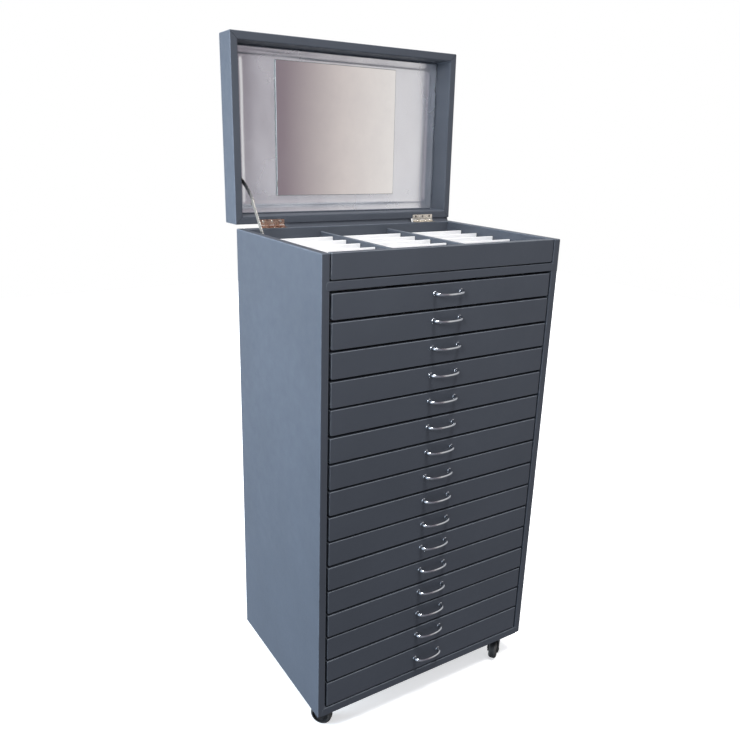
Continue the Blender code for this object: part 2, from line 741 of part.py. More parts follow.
def fork_mesh():
    """Swivel head, crown, two legs and the axle. The origin is on the swivel axis at the cabinet's underside."""
    top = -FIT_GAP
    head = cylinder_mesh("head", FORK_HEAD_RADIUS, (0, 0, -FORK_HEAD_HEIGHT), (0, 0, top), 28)
    leg_inner = WHEEL_WIDTH / 2 + FORK_SIDE_CLEARANCE
    leg_outer = leg_inner + FORK_LEG
    axle_z = WHEEL_RADIUS - FLOOR_CLEARANCE
    crown_bottom = axle_z + WHEEL_RADIUS + CROWN_CLEARANCE
    crown_half = leg_inner + FORK_LEG / 2
    crown_top = -FORK_HEAD_HEIGHT + CROWN_LAP
    crown = box_mesh(
        "crown",
        (-crown_half, -CROWN_LEAD, crown_bottom),
        (crown_half, CROWN_TAIL, crown_top),
    )
    leg_top = -FORK_HEAD_HEIGHT + CROWN_LAP / 2
    pieces = [crown]
    for side in (-1, 1):
        xs = sorted((side * leg_inner, side * leg_outer))
        pieces.append(leg_mesh(xs[0], xs[1], axle_z, leg_top))
    end = leg_outer + AXLE_STAND_OUT
    axle_ends = (-end, CASTER_TRAIL, axle_z), (end, CASTER_TRAIL, axle_z)
    pieces.append(cylinder_mesh("axle", AXLE_RADIUS, *axle_ends, 20))
    mesh = joined_mesh("caster_fork", head, *pieces)
    smooth_round(mesh)
    return mesh


def casters(cabinet):
    """Each fork's own +Y is the way its wheel trails; the heading turns it about the swivel axis."""
    fork, wheel = fork_mesh(), wheel_mesh()
    axle_z = WHEEL_RADIUS - FLOOR_CLEARANCE
    for corner, heading in CASTER_HEADINGS.items():
        x = CASTER_X * (1 if corner.endswith("right") else -1)
        y = CASTER_Y * (1 if corner.startswith("rear") else -1)
        turn = (0, 0, math.radians(heading - 90))
        swivel = add_part("caster_fork_" + corner, fork, "black_nylon", cabinet, (x, y, 0), turn)
        add_part("caster_wheel_" + corner, wheel, "tread", swivel, (0, CASTER_TRAIL, axle_z))


def main():
    cabinet = cabinet_shell()
    top_tray(cabinet)
    drawers(cabinet)
    axis_place = (0, BACK_Y + AXIS_FROM_BACK, RIM_Z + AXIS_ABOVE)
    hinge_axis = add_empty("lid_hinge_axis", axis_place, (-LID_OPEN, 0, 0))
    lid(hinge_axis)
    hinges(cabinet, hinge_axis)
    lid_stay(cabinet, hinge_axis)
    casters(cabinet)


main()
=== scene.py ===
import json
import math
import random

import bmesh
import bpy
from mathutils import Matrix, Vector, noise


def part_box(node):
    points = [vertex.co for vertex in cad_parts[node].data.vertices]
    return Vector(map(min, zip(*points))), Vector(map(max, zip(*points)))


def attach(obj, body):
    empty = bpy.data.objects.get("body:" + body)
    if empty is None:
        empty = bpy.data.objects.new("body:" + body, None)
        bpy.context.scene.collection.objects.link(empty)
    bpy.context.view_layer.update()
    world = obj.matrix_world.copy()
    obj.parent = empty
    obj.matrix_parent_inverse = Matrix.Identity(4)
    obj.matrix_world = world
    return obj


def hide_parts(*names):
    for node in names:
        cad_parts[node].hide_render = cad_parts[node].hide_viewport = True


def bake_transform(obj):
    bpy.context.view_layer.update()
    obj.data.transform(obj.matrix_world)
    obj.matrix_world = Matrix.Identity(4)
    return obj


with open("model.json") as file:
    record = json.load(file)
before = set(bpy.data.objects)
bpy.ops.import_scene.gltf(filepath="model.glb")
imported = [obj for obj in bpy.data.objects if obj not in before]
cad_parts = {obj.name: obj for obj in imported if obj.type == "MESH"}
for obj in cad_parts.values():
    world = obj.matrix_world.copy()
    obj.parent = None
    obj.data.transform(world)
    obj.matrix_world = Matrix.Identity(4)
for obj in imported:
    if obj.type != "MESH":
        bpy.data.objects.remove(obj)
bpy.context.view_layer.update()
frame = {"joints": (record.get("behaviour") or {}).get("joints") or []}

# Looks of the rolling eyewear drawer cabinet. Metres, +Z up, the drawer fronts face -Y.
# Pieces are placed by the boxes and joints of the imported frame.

JOINTS = {joint["name"]: joint for joint in frame["joints"]}

# Camera
CAMERA_PLACE = (-0.918, -1.3659, 1.2872)
CAMERA_YAW = 32.536
CAMERA_DOWN = 17.513
CAMERA_TILT = 1.707
CAMERA_LENS = 35.17
SENSOR = 36.0

# The cabinet's planes, read from the frame
SIDE_LOW, SIDE_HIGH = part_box("left_side_panel")
BACK_LOW, BACK_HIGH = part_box("back_panel")
SHELF_LOW, SHELF_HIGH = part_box("upper_shelf")
BOTTOM_LOW, BOTTOM_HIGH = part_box("bottom_panel")
TRAY_LOW, TRAY_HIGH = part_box("top_tray")
HALF_WIDTH = -SIDE_LOW.x
FIT_GAP = 0.0003
INNER_HALF = BACK_HIGH.x + FIT_GAP
BOARD = HALF_WIDTH - INNER_HALF
FRONT_Y = SIDE_LOW.y
BACK_Y = SIDE_HIGH.y
DEPTH = BACK_Y - FRONT_Y
BASE_Z = SIDE_LOW.z
RIM_Z = SIDE_HIGH.z

# Wrapped boards
BOARD_ROUNDING = 0.0022
FRONT_ROUNDING = 0.0013
WRAP = 0.0005
WRAP_LAP = 0.0075
WRAP_CORNER = 0.0060
APRON_CORNER = 0.0040
THIN_EDGE = 0.0004

# Drawers; a front is drawn in by its ease all round, which widens the gaps
DRAWER_COUNT = 16
FRONT_THICKNESS = 0.016
FRONT_GAP = 0.0035
FRONT_CORNER = 0.0026
FRONT_EASE = 0.0009
BOX_INSET = 0.002
BOX_WALL = 0.008
BOX_FLOOR = 0.004
BOX_LIFT = 0.0085
BOX_HEIGHT = 0.044
RUNNER_WIDTH = 0.012
RUNNER_HEIGHT = 0.0065
RUNNER_LIFT = 0.0015
RUNNER_FRONT = 0.020
RUNNER_ROUNDING = 0.0008
DIVIDER = 0.006
CARD = 0.0012
CARD_RIB = 0.0040
CARD_SLACK = 0.0005
CARD_DROP = 0.0085
POCKET_ROWS = 6

# Lid, in the closed lid's own coordinates about the hinge axis
LID_AXIS = Vector(JOINTS["lid_hinge"]["pos_m"])
LID_OPEN = math.radians(JOINTS["lid_hinge"]["range_deg"][1])
LID_TURN = Matrix.Translation(LID_AXIS) @ Matrix.Rotation(-LID_OPEN, 4, "X")
LID_NEAR = -0.0055
LID_FAR = LID_NEAR - DEPTH
LID_BOTTOM = LID_AXIS.z - RIM_Z
LID_DEPTH = 0.061
LID_TOP = LID_BOTTOM + LID_DEPTH
LID_BOARD = 0.0038
LINING = 0.0010
LINING_MARGIN = 0.0022
MIRROR_WIDTH = 0.327
MIRROR_HEIGHT = 0.298
MIRROR_THICKNESS = 0.003
MIRROR_FROM_EDGE = 0.2080
MIRROR_OFFSET = -0.0095
MIRROR_MARGIN = 0.0005
MIRROR_BEVEL = 0.0012

SEED = 11

# Turns that several shapes share
QUARTER_X = Matrix.Rotation(math.pi / 2, 4, "X")
QUARTER_Y = Matrix.Rotation(math.pi / 2, 4, "Y")
# Takes a shape's own X, Y and Z to the cabinet's Y, Z and X
ONTO_SIDE = Matrix(((0, 0, 1, 0), (1, 0, 0, 0), (0, 1, 0, 0), (0, 0, 0, 1)))


# ---- Shapes


def linked(name, data):
    """A new object of the scene."""
    obj = bpy.data.objects.new(name, data)
    bpy.context.scene.collection.objects.link(obj)
    return obj


def mesh_of(name, shape):
    """The shape as a mesh; the shape itself is used up."""
    mesh = bpy.data.meshes.new(name)
    shape.to_mesh(mesh)
    shape.free()
    return mesh


def at(x, y, z):
    return Matrix.Translation((x, y, z))


def block(low, high, rounding=0.0, segments=3):
    """A box whose edges are rounded."""
    low, high = Vector(low), Vector(high)
    shape = bmesh.new()
    size = Matrix.Diagonal((*(high - low), 1))
    bmesh.ops.create_cube(shape, size=1, matrix=Matrix.Translation((low + high) / 2) @ size)
    round_edges(shape, shape.edges, rounding, segments)
    return shape


def face_outwards(shape):
    bmesh.ops.recalc_face_normals(shape, faces=shape.faces)


def round_edges(shape, edges, rounding, segments=3):
    if rounding > 0:
        bevel = {"offset": rounding, "segments": segments, "profile": 0.5}
        bmesh.ops.bevel(shape, geom=list(edges), affect="EDGES", clamp_overlap=True, **bevel)


def raise_face(shape, face, height):
    """Pushes a face along Z, with walls behind it."""
    made = bmesh.ops.extrude_face_region(shape, geom=[face])["geom"]
    corners = [part for part in made if isinstance(part, bmesh.types.BMVert)]
    bmesh.ops.translate(shape, vec=(0, 0, height), verts=corners)


def slab(outline, low, high, rounding=0.0, segments=3):
    """A plate with that outline in XY, between two heights, with the rims of both faces rounded."""
    shape = bmesh.new()
    face = shape.faces.new([shape.verts.new((x, y, low)) for x, y in outline])
    raise_face(shape, face, high - low)
    face_outwards(shape)
    rims = [edge for edge in shape.edges if abs(edge.verts[0].co.z - edge.verts[1].co.z) < 1e-7]
    round_edges(shape, rims, rounding, segments)
    return shape


def rounded_outline(low, high, radii, steps=6):
    """A rectangle with its own radius at each corner, from the low one, anticlockwise."""
    (x0, y0), (x1, y1) = low, high
    corners = ((x0, y0, 180), (x1, y0, 270), (x1, y1, 0), (x0, y1, 90))
    points = []
    for (x, y, start), radius in zip(corners, radii):
        centre_x = x + radius if x == x0 else x - radius
        centre_y = y + radius if y == y0 else y - radius
        for index in range(steps + 1):
            turn = math.radians(start + 90 * index / steps)
            points.append((centre_x + radius * math.cos(turn), centre_y + radius * math.sin(turn)))
    return points


def turned(profile, steps=48):
    """A solid turned about Z from (radius, height) points; a radius of 0 closes it on the axis."""
    shape = bmesh.new()
    rings = []
    for radius, height in profile:
        if radius < 1e-7:
            rings.append([shape.verts.new((0, 0, height))])
            continue
        ring = []
        for index in range(steps):
            turn = math.tau * index / steps
            ring.append(shape.verts.new((radius * math.cos(turn), radius * math.sin(turn), height)))
        rings.append(ring)
    closed = len(rings[0]) > 1 and len(rings[-1]) > 1
    pairs = list(zip(rings, rings[1:] + rings[:1])) if closed else list(zip(rings, rings[1:]))
    for first, second in pairs:
        for index in range(steps):
            after = (index + 1) % steps
            corners = [first[index % len(first)], first[after % len(first)]]
            corners += [second[after % len(second)], second[index % len(second)]]
            unique = list(dict.fromkeys(corners))
            if len(unique) > 2:
                shape.faces.new(unique)
    face_outwards(shape)
    return shape


def swept(path, radii, sides=16):
    """A tube along path whose section is an ellipse: radii gives its half widths across and along Z."""
    shape = bmesh.new()
    rings = []
    up = Vector((0, 0, 1))
    for index, (point, (wide, tall)) in enumerate(zip(path, radii)):
        before = path[max(index - 1, 0)]
        after = path[min(index + 1, len(path) - 1)]
        across = (after - before).normalized().cross(up).normalized()
        ring = []
        for step in range(sides):
            turn = math.tau * step / sides
            offset = across * wide * math.cos(turn) + up * tall * math.sin(turn)
            ring.append(shape.verts.new(point + offset))
        rings.append(ring)
    for first, second in zip(rings, rings[1:]):
        for step in range(sides):
            after = (step + 1) % sides
            shape.faces.new((first[step], first[after], second[after], second[step]))
    shape.faces.new(rings[0])
    shape.faces.new(rings[-1])
    face_outwards(shape)
    return shape


def moved(shape, place):
    shape.transform(place)
    return shape


def joined(*shapes):
    """Several shapes as one."""
    whole = bmesh.new()
    for shape in shapes:
        mesh = mesh_of("shape", shape)
        whole.from_mesh(mesh)
        bpy.data.meshes.remove(mesh)
    return whole


def cut(shape, *cutters):
    """The shape less each cutter."""
    objects = [linked("cut", mesh_of("cut", part)) for part in (shape, *cutters)]
    for cutter in objects[1:]:
        modifier = objects[0].modifiers.new("cut", "BOOLEAN")
        modifier.operation = "DIFFERENCE"
        modifier.solver = "EXACT"
        modifier.object = cutter
    bpy.context.view_layer.update()
    graph = bpy.context.evaluated_depsgraph_get()
    mesh = bpy.data.meshes.new_from_object(objects[0].evaluated_get(graph))
    rest = bmesh.new()
    rest.from_mesh(mesh)
    for obj in objects:
        bpy.data.objects.remove(obj, do_unlink=True)
    return rest


def mark_rounded_edges(shape, width):
    """A vertex that touches only faces narrower than width, as in a rounded edge, is marked as an edge;
    materials grey or pale these edges as wear and dust, and the leatherette also as a painted highlight.
    """
    layer = shape.verts.layers.float.new("rounded_edge")
    narrow = {}
    for face in shape.faces:
        narrow[face] = face.calc_area() < width * max(edge.calc_length() for edge in face.edges)
    for vert in shape.verts:
        vert[layer] = 1.0 if all(narrow[face] for face in vert.link_faces) else 0.0


def piece(name, shape, material, body, replaced=(), sharp=42, edge_width=0.0012):
    """A shown piece: it takes the finish of a material slot and moves with a body, if one is named."""
    mark_rounded_edges(shape, edge_width)
    mesh = mesh_of(name, shape)
    mesh.materials.append(material)
    mesh.shade_smooth()
    mesh.set_sharp_from_angle(angle=math.radians(sharp))
    obj = linked(name, mesh)
    weighted = obj.modifiers.new("even_shading", "WEIGHTED_NORMAL")
    weighted.keep_sharp = True
    if body is not None:
        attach(obj, body)
    if replaced:
        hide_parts(*replaced)
    return obj


# ---- Materials


def plug(socket, value):
    """Feeds an input with another node's output, a number or a colour."""
    if isinstance(value, bpy.types.NodeSocket):
        socket.id_data.links.new(value, socket)
    elif isinstance(value, (int, float)):
        socket.default_value = value
    else:
        socket.default_value = (*value, 1)


def add_node(near, kind, *inputs, **values):
    """A node in the tree of another node or socket. Values are set by socket or property name, and
    inputs are (socket, what feeds it)."""
    node = near.id_data.nodes.new("ShaderNode" + kind)
    for key, value in values.items():
        if hasattr(node, key):
            setattr(node, key, value)
        else:
            node.inputs[key.replace("_", " ")].default_value = value
    for socket, value in inputs:
        plug(node.inputs[socket], value)
    return node


def new_material(name, colour, roughness, metallic=0.0, **values):
    made = bpy.data.materials.new(name)
    made.use_nodes = True
    shader = made.node_tree.nodes["Principled BSDF"]
    shader.inputs["Base Color"].default_value = (*colour, 1)
    shader.inputs["Roughness"].default_value = roughness
    shader.inputs["Metallic"].default_value = metallic
    for key, value in values.items():
        shader.inputs[key.replace("_", " ")].default_value = value
    return made, shader, add_node(shader, "TexCoord").outputs["Object"]


def fade(source, low, high, to_low, to_high):
    """A value stretched from one range to another."""
    ends = {"From_Min": low, "From_Max": high, "To_Min": to_low, "To_Max": to_high}
    return add_node(source, "MapRange", ("Value", source), **ends).outputs["Result"]


def mixed(share, first, second):
    """Two colours mixed by a share; each is a socket or three numbers."""
    # Sockets 6 and 7 and output 2 are the mix node's colours
    node = add_node(share, "Mix", (0, share), (6, first), (7, second), data_type="RGBA")
    return node.outputs[2]


def noise_of(coordinates, scale, detail=3.0, roughness=0.5):
    values = {"Scale": scale, "Detail": detail, "Roughness": roughness}
    return add_node(coordinates, "TexNoise", ("Vector", coordinates), **values).outputs["Fac"]


def two_tones(shader, tone, first, second):
    """The base colour goes from the first to the second with the tone."""
    plug(shader.inputs["Base Color"], mixed(fade(tone, 0.3, 0.7, 0, 1), first, second))


def rounded_edge_times(shader, share):
    """The mark of rounded edges, times a share."""
    rounded_edge = add_node(shader, "Attribute", attribute_name="rounded_edge").outputs["Fac"]
    return add_node(shader, "Math", (0, rounded_edge), (1, share), operation="MULTIPLY").outputs[0]


def bumped(shader, *layers):
    """Bump layers on a shader, each (height socket, strength, distance in metres), the first deepest."""
    normal = None
    for height, strength, distance in layers:
        node = add_node(shader, "Bump", ("Height", height), Strength=strength, Distance=distance)
        if normal is not None:
            plug(node.inputs["Normal"], normal)
        normal = node.outputs["Normal"]
    plug(shader.inputs["Normal"], normal)


def leatherette(name, colour, worn_highlit_edge_colour):
    """Embossed slate-blue leatherette: fine pebble grain with painted shade in its creases, soft mottling,
    and rounded edges made paler, partly as rubbed wear and partly as a painted highlight.
    """
    made, shader, coordinates = new_material(name, colour, 0.5, Specular_IOR_Level=0.3)
    mottle = noise_of(coordinates, 5.0, 4.0, 0.6)
    cloud = noise_of(coordinates, 38.0, 3.0, 0.55)
    pebble = add_node(shader, "TexVoronoi", ("Vector", coordinates), Scale=820.0)
    crease = add_node(shader, "TexVoronoi", ("Vector", coordinates), Scale=820.0, feature="DISTANCE_TO_EDGE")
    darker = tuple(0.93 * part for part in colour)
    lighter = tuple(1.07 * part for part in colour)
    base = mixed(fade(mottle, 0.30, 0.70, 0, 1), darker, lighter)
    base = mixed(fade(cloud, 0.35, 0.75, 0, 0.35), base, colour)
    # Painted shade: the creases between the pebbles are darker.
    crease_shaded = mixed(fade(crease.outputs["Distance"], 0.0, 0.12, 0.30, 0), base, darker)
    # Painted highlight with some wear: the rounded edges turn paler, in patches.
    rub_and_highlight_patches = noise_of(coordinates, 55.0, 2.0)
    worn_and_highlit_edges = rounded_edge_times(shader, fade(rub_and_highlight_patches, 0.3, 0.7, 0.45, 1.0))
    plug(shader.inputs["Base Color"], mixed(worn_and_highlit_edges, crease_shaded, worn_highlit_edge_colour))
    plug(shader.inputs["Roughness"], fade(cloud, 0.25, 0.75, 0.44, 0.58))
    unevenness = noise_of(coordinates, 24.0, 2.0)
    bumped(shader, (unevenness, 0.10, 0.0012), (pebble.outputs["Distance"], 0.22, 0.00022))
    return made


def satin_lining():
    """Silver-white satin with a fine weave and slow changes of tone."""
    made, shader, coordinates = new_material("silver_satin", (0.66, 0.66, 0.69), 0.26, 0.85)
    tone = noise_of(coordinates, 7.0, 3.0)
    two_tones(shader, tone, (0.80, 0.82, 0.86), (0.90, 0.93, 0.98))
    weave = []
    for direction in ("X", "Z"):
        wave = add_node(shader, "TexWave", ("Vector", coordinates), Scale=260.0, bands_direction=direction)
        weave.append(wave.outputs["Fac"])
    threads = add_node(shader, "Math", (0, weave[0]), (1, weave[1]), operation="MAXIMUM").outputs[0]
    plug(shader.inputs["Roughness"], fade(tone, 0.3, 0.7, 0.20, 0.30))
    unevenness = noise_of(coordinates, 30.0, 2.0)
    bumped(shader, (unevenness, 0.15, 0.0012), (threads, 0.04, 0.00015))
    return made


def white_card():
    """White folded card with a faint fibre and slightly greyed edges."""
    made, shader, coordinates = new_material("white_card", (0.88, 0.88, 0.87), 0.62)
    fibre = noise_of(coordinates, 420.0, 4.0, 0.7)
    tone = noise_of(coordinates, 18.0, 2.0)
    base = mixed(fade(tone, 0.3, 0.7, 0, 1), (0.84, 0.84, 0.835), (0.90, 0.90, 0.895))
    greyed = rounded_edge_times(shader, 0.35)
    plug(shader.inputs["Base Color"], mixed(greyed, base, (0.70, 0.70, 0.69)))
    plug(shader.inputs["Roughness"], fade(fibre, 0.3, 0.7, 0.55, 0.72))
    bumped(shader, (fibre, 0.15, 0.00015))
    return made


def mirror_glass():
    """A silvered mirror with the faintest haze of handling."""
    made, shader, coordinates = new_material("mirror_silver", (0.86, 0.86, 0.86), 0.05, 1.0)
    haze = noise_of(coordinates, 14.0, 5.0, 0.65)
    plug(shader.inputs["Roughness"], fade(haze, 0.35, 0.75, 0.035, 0.10))
    hazy = fade(haze, 0.3, 0.8, 0, 1)
    base = mixed(hazy, (0.87, 0.87, 0.87), (0.82, 0.82, 0.83))
    plug(shader.inputs["Base Color"], base)
    bumped(shader, (noise_of(coordinates, 4.0, 1.0), 0.02, 0.0010))
    return made


def ground_glass():
    """The polished edge of the mirror's glass."""
    made, shader, coordinates = new_material("mirror_edge", (0.36, 0.41, 0.40), 0.18, 0.2)
    tone = noise_of(coordinates, 90.0, 3.0)
    two_tones(shader, tone, (0.30, 0.36, 0.34), (0.44, 0.48, 0.47))
    plug(shader.inputs["Roughness"], fade(tone, 0.3, 0.7, 0.12, 0.3))
    bumped(shader, (tone, 0.1, 0.0002))
    return made


def bright_metal(name, colour, roughness, tint):
    """Plated metal with light smudges and hairline scratches."""
    made, shader, coordinates = new_material(name, colour, roughness, 1.0)
    smudge = noise_of(coordinates, 130.0, 4.0, 0.6)
    stretched = add_node(shader, "Mapping", ("Vector", coordinates), Scale=(1.0, 9.0, 9.0))
    hair = noise_of(stretched.outputs[0], 240.0, 2.0)
    base = mixed(fade(smudge, 0.35, 0.75, 0, 1), colour, tint)
    plug(shader.inputs["Base Color"], base)
    dull = fade(smudge, 0.3, 0.75, 0.7 * roughness, 1.7 * roughness)
    plug(shader.inputs["Roughness"], dull)
    bumped(shader, (hair, 0.06, 0.0001))
    return made


def moulded(name, colour, roughness, lighter):
    """Moulded nylon or rubber: fine texture, dust-grey on worn edges."""
    made, shader, coordinates = new_material(name, colour, roughness)
    texture = noise_of(coordinates, 900.0, 3.0, 0.6)
    dust = noise_of(coordinates, 70.0, 4.0, 0.65)
    share = rounded_edge_times(shader, fade(dust, 0.4, 0.7, 0.1, 0.8))
    dusty = mixed(fade(dust, 0.45, 0.85, 0, 0.5), colour, lighter)
    plug(shader.inputs["Base Color"], mixed(share, dusty, lighter))
    dull = fade(dust, 0.3, 0.7, roughness - 0.08, roughness + 0.12)
    plug(shader.inputs["Roughness"], dull)
    bumped(shader, (texture, 0.12, 0.0002))
    return made


SLATE = (0.069, 0.079, 0.097)
# The leatherette's rounded edges are paler: partly wear, partly a painted highlight.
SLATE_WORN_HIGHLIT_EDGE = (0.115, 0.132, 0.160)
LEATHERETTE = leatherette("slate_leatherette", SLATE, SLATE_WORN_HIGHLIT_EDGE)
# A copy of the leatherette with far paler rounded edges, mostly a painted highlight with a little wear, for
# the fronts, bands, apron, tray frame and lid wraps.
LEATHERETTE_HIGHLIT_EDGES = leatherette("slate_leatherette_highlit_edges", SLATE, (0.17, 0.19, 0.215))
SATIN = satin_lining()
CARD_WHITE = white_card()
MIRROR = mirror_glass()
MIRROR_EDGE = ground_glass()
CHROME = bright_metal("bright_chrome", (0.62, 0.65, 0.69), 0.12, (0.50, 0.53, 0.58))
NICKEL = bright_metal("warm_nickel", (0.84, 0.80, 0.72), 0.22, (0.74, 0.68, 0.58))
COPPERY = bright_metal("coppery_nickel", (0.50, 0.30, 0.22), 0.24, (0.62, 0.45, 0.36))
AGED = bright_metal("aged_nickel", (0.52, 0.49, 0.45), 0.24, (0.36, 0.34, 0.31))
# A darker copy of the nickel, used for the upper stay arm.
DARK_NICKEL = bright_metal("dark_nickel", (0.34, 0.32, 0.30), 0.20, (0.55, 0.52, 0.48))
DARK_STEEL = bright_metal("dark_screw_steel", (0.16, 0.15, 0.14), 0.35, (0.10, 0.09, 0.09))
NYLON = moulded("black_nylon", (0.011, 0.011, 0.012), 0.38, (0.06, 0.06, 0.062))
TREAD = moulded("black_tread", (0.016, 0.016, 0.017), 0.55, (0.09, 0.088, 0.085))


# ---- Cabinet body


def level_base(level):
    """Height of a drawer level, counted from the top, from the boxes of the second and third drawers."""
    second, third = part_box("drawer_02")[0].z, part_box("drawer_03")[0].z
    return second - FRONT_GAP / 2 - (level - 1) * (second - third)


def upright(outline, front, back, rounding, segments=3):
    """A slab whose outline is drawn in XZ and whose thickness runs from front to back."""
    return moved(slab(outline, -back, -front, rounding, segments), QUARTER_X)


def side_boards():
    for side, name in ((-1, "left"), (1, "right")):
        xs = sorted((side * HALF_WIDTH, side * INNER_HALF))
        board = block((xs[0], FRONT_Y, BASE_Z), (xs[1], BACK_Y, RIM_Z), BOARD_ROUNDING, 4)
        piece(name + "_side_board", board, LEATHERETTE, "cabinet", [name + "_side_panel"])
        battens = []
        for level in range(DRAWER_COUNT):
            start_y, low_z = FRONT_Y + FRONT_THICKNESS + RUNNER_FRONT, level_base(level) + RUNNER_LIFT
            ends = sorted((side * (INNER_HALF - FIT_GAP / 3), side * (INNER_HALF - RUNNER_WIDTH)))
            high = (ends[1], BACK_LOW.y - FIT_GAP, low_z + RUNNER_HEIGHT)
            battens.append(block((ends[0], start_y, low_z), high, RUNNER_ROUNDING, 2))
        piece(name + "_runner_battens", joined(*battens), LEATHERETTE, "cabinet")


def wrap_band(name, low_z, high_z):
    """The leatherette over a board's front edge; its round ends lap onto both side panels."""
    half = INNER_HALF + WRAP_LAP
    outline = rounded_outline((-half, low_z), (half, high_z), [WRAP_CORNER] * 4)
    band = upright(outline, FRONT_Y - WRAP, FRONT_Y + WRAP, WRAP * 0.6, 3)
    piece(name, band, LEATHERETTE_HIGHLIT_EDGES, "cabinet", edge_width=THIN_EDGE)


def boards():
    side_boards()
    for name, node in (
        ("back_board", "back_panel"), ("bottom_board", "bottom_panel"), ("shelf_board", "upper_shelf")
    ):
        board = block(*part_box(node), BOARD_ROUNDING, 4)
        piece(name, board, LEATHERETTE, "cabinet", [node])
    wrap_band("shelf_front_wrap", SHELF_LOW.z + 0.0002, SHELF_HIGH.z - 0.0002)
    wrap_band("bottom_front_wrap", BOTTOM_LOW.z + 0.0004, BOTTOM_HIGH.z - 0.0002)
    low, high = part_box("front_apron")
    radii = [APRON_CORNER, APRON_CORNER, FRONT_CORNER, FRONT_CORNER]
    outline = rounded_outline((low.x, low.z), (high.x, high.z), radii, 8)
    apron = upright(outline, low.y, high.y, FRONT_ROUNDING, 4)
    piece("apron_board", apron, LEATHERETTE_HIGHLIT_EDGES, "cabinet", ["front_apron"])


def back_laps():
    """The turned-over edges of the leatherette, glued down around the back."""
    width, inset, thick = 0.014, 0.003, 0.0004
    strips = []
    for x in (-HALF_WIDTH + inset, HALF_WIDTH - inset - width):
        low = (x, BACK_Y - thick / 2, BASE_Z + inset)
        strips.append(block(low, (x + width, BACK_Y + thick, RIM_Z - inset), thick * 0.4, 2))
    for z in (BASE_Z + inset, RIM_Z - inset - width):
        low = (-INNER_HALF + 0.001, BACK_Y - thick / 2, z)
        strips.append(block(low, (INNER_HALF - 0.001, BACK_Y + thick, z + width), thick * 0.4, 2))
    piece("back_edge_laps", joined(*strips), LEATHERETTE, "cabinet", edge_width=0.0003)


# ---- Tray and drawer insides


def pocket_card(low, high, floor_z, rib_z):
    """A white card folded up into cross ribs, so that it makes a row of pockets from front to back."""
    shapes = [block((low[0], low[1], floor_z), (high[0], high[1], floor_z + CARD), 0.0003, 1)]
    pitch = (high[1] - low[1] + CARD_RIB) / POCKET_ROWS
    for index in range(1, POCKET_ROWS):
        y = low[1] - CARD_RIB / 2 + index * pitch
        rib_low = (low[0], y - CARD_RIB / 2, floor_z + CARD * 0.5)
        shapes.append(block(rib_low, (high[0], y + CARD_RIB / 2, rib_z), 0.0012, 3))
    return shapes


def columns(low_x, high_x, divider):
    """The three columns between two walls: (low x, high x) of each."""
    width = (high_x - low_x - 2 * divider) / 3
    return [(low_x + i * (width + divider), low_x + i * (width + divider) + width) for i in range(3)]


def top_tray():
    margin, floor, divider = 0.003, 0.003, 0.007
    divider_top = RIM_Z - 0.0110
    rib_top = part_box("tray_insert_left")[1].z
    low, high = TRAY_LOW, TRAY_HIGH
    shapes = [block(low, (high.x, high.y, low.z + floor), 0.0004, 1)]
    stretches = columns(low.x + margin, high.x - margin, divider)
    for (_, left), (right, _) in zip(stretches, stretches[1:]):
        start = (left, low.y + margin / 2, low.z + floor / 2)
        shapes.append(block(start, (right, high.y - margin / 2, divider_top), 0.0018, 3))
    piece("top_tray_frame", joined(*shapes), LEATHERETTE_HIGHLIT_EDGES, "cabinet", ["top_tray"])
    for name, (start, end) in zip(("left", "centre", "right"), stretches):
        node = "tray_insert_" + name
        y_low, y_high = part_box(node)[0].y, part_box(node)[1].y
        card_low, card_high = (start + CARD_SLACK, y_low), (end - CARD_SLACK, y_high)
        card = pocket_card(card_low, card_high, low.z + floor + FIT_GAP, rib_top)
        piece("pocket_card_" + name, joined(*card), CARD_WHITE, "cabinet", [node])


# ---- Drawers


def bow_shape(low, high):
    """A bow pull that thickens into round feet against the drawer front."""
    foot_radius, slim, sag, flare, neck = 0.0044, 0.0024, 0.0015, 0.0011, 0.0015
    waist, swelling = (0.0021, 0.0026), (0.0022, 0.0020)
    middle_x = (low.x + high.x) / 2
    foot_z = high.z - foot_radius - FIT_GAP
    span = (high.x - low.x) / 2 - foot_radius
    face = high.y
    reach = face - low.y - slim
    steps = 40
    path = [Vector((-span, face, foot_z)), Vector((-span, face - flare, foot_z))]
    radii = [(foot_radius + flare,) * 2, (foot_radius,) * 2]
    for index in range(steps + 1):
        turn = math.pi * index / steps
        out = neck + (reach - neck) * math.sin(turn) ** 0.75
        along = math.copysign(abs(math.cos(turn)) ** 0.85, -math.cos(turn))
        path.append(Vector((span * along, face - out, foot_z - sag * math.sin(turn))))
        swell = abs(math.cos(turn)) ** 4
        radii.append(tuple(slight + more * swell for slight, more in zip(waist, swelling)))
    path += [Vector((span, face - flare, foot_z)), Vector((span, face, foot_z))]
    radii += [(foot_radius,) * 2, (foot_radius + flare,) * 2]
    return moved(swept(path, radii, 20), at(middle_x, 0, 0))


def drawer_front(low, high, rng):
    """A drawer's front board, shifted and turned a little so that no two gaps are quite alike."""
    ease = FRONT_EASE
    corners = (low.x + ease, low.z + ease), (high.x - ease, high.z - ease)
    outline = rounded_outline(*corners, [FRONT_CORNER] * 4, 5)
    front = upright(outline, low.y, low.y + FRONT_THICKNESS, FRONT_ROUNDING, 4)
    middle = Vector((0, low.y, (low.z + high.z) / 2))
    lean = math.radians(rng.uniform(-0.035, 0.035))
    ranges = ((-0.0003, 0.0003), (-0.0005, 0.0003), (-0.0002, 0.0002))
    shift = Vector([rng.uniform(least, most) for least, most in ranges])
    slack = Matrix.Translation(middle + shift) @ Matrix.Rotation(lean, 4, "Y") @ Matrix.Translation(-middle)
    return moved(front, slack)


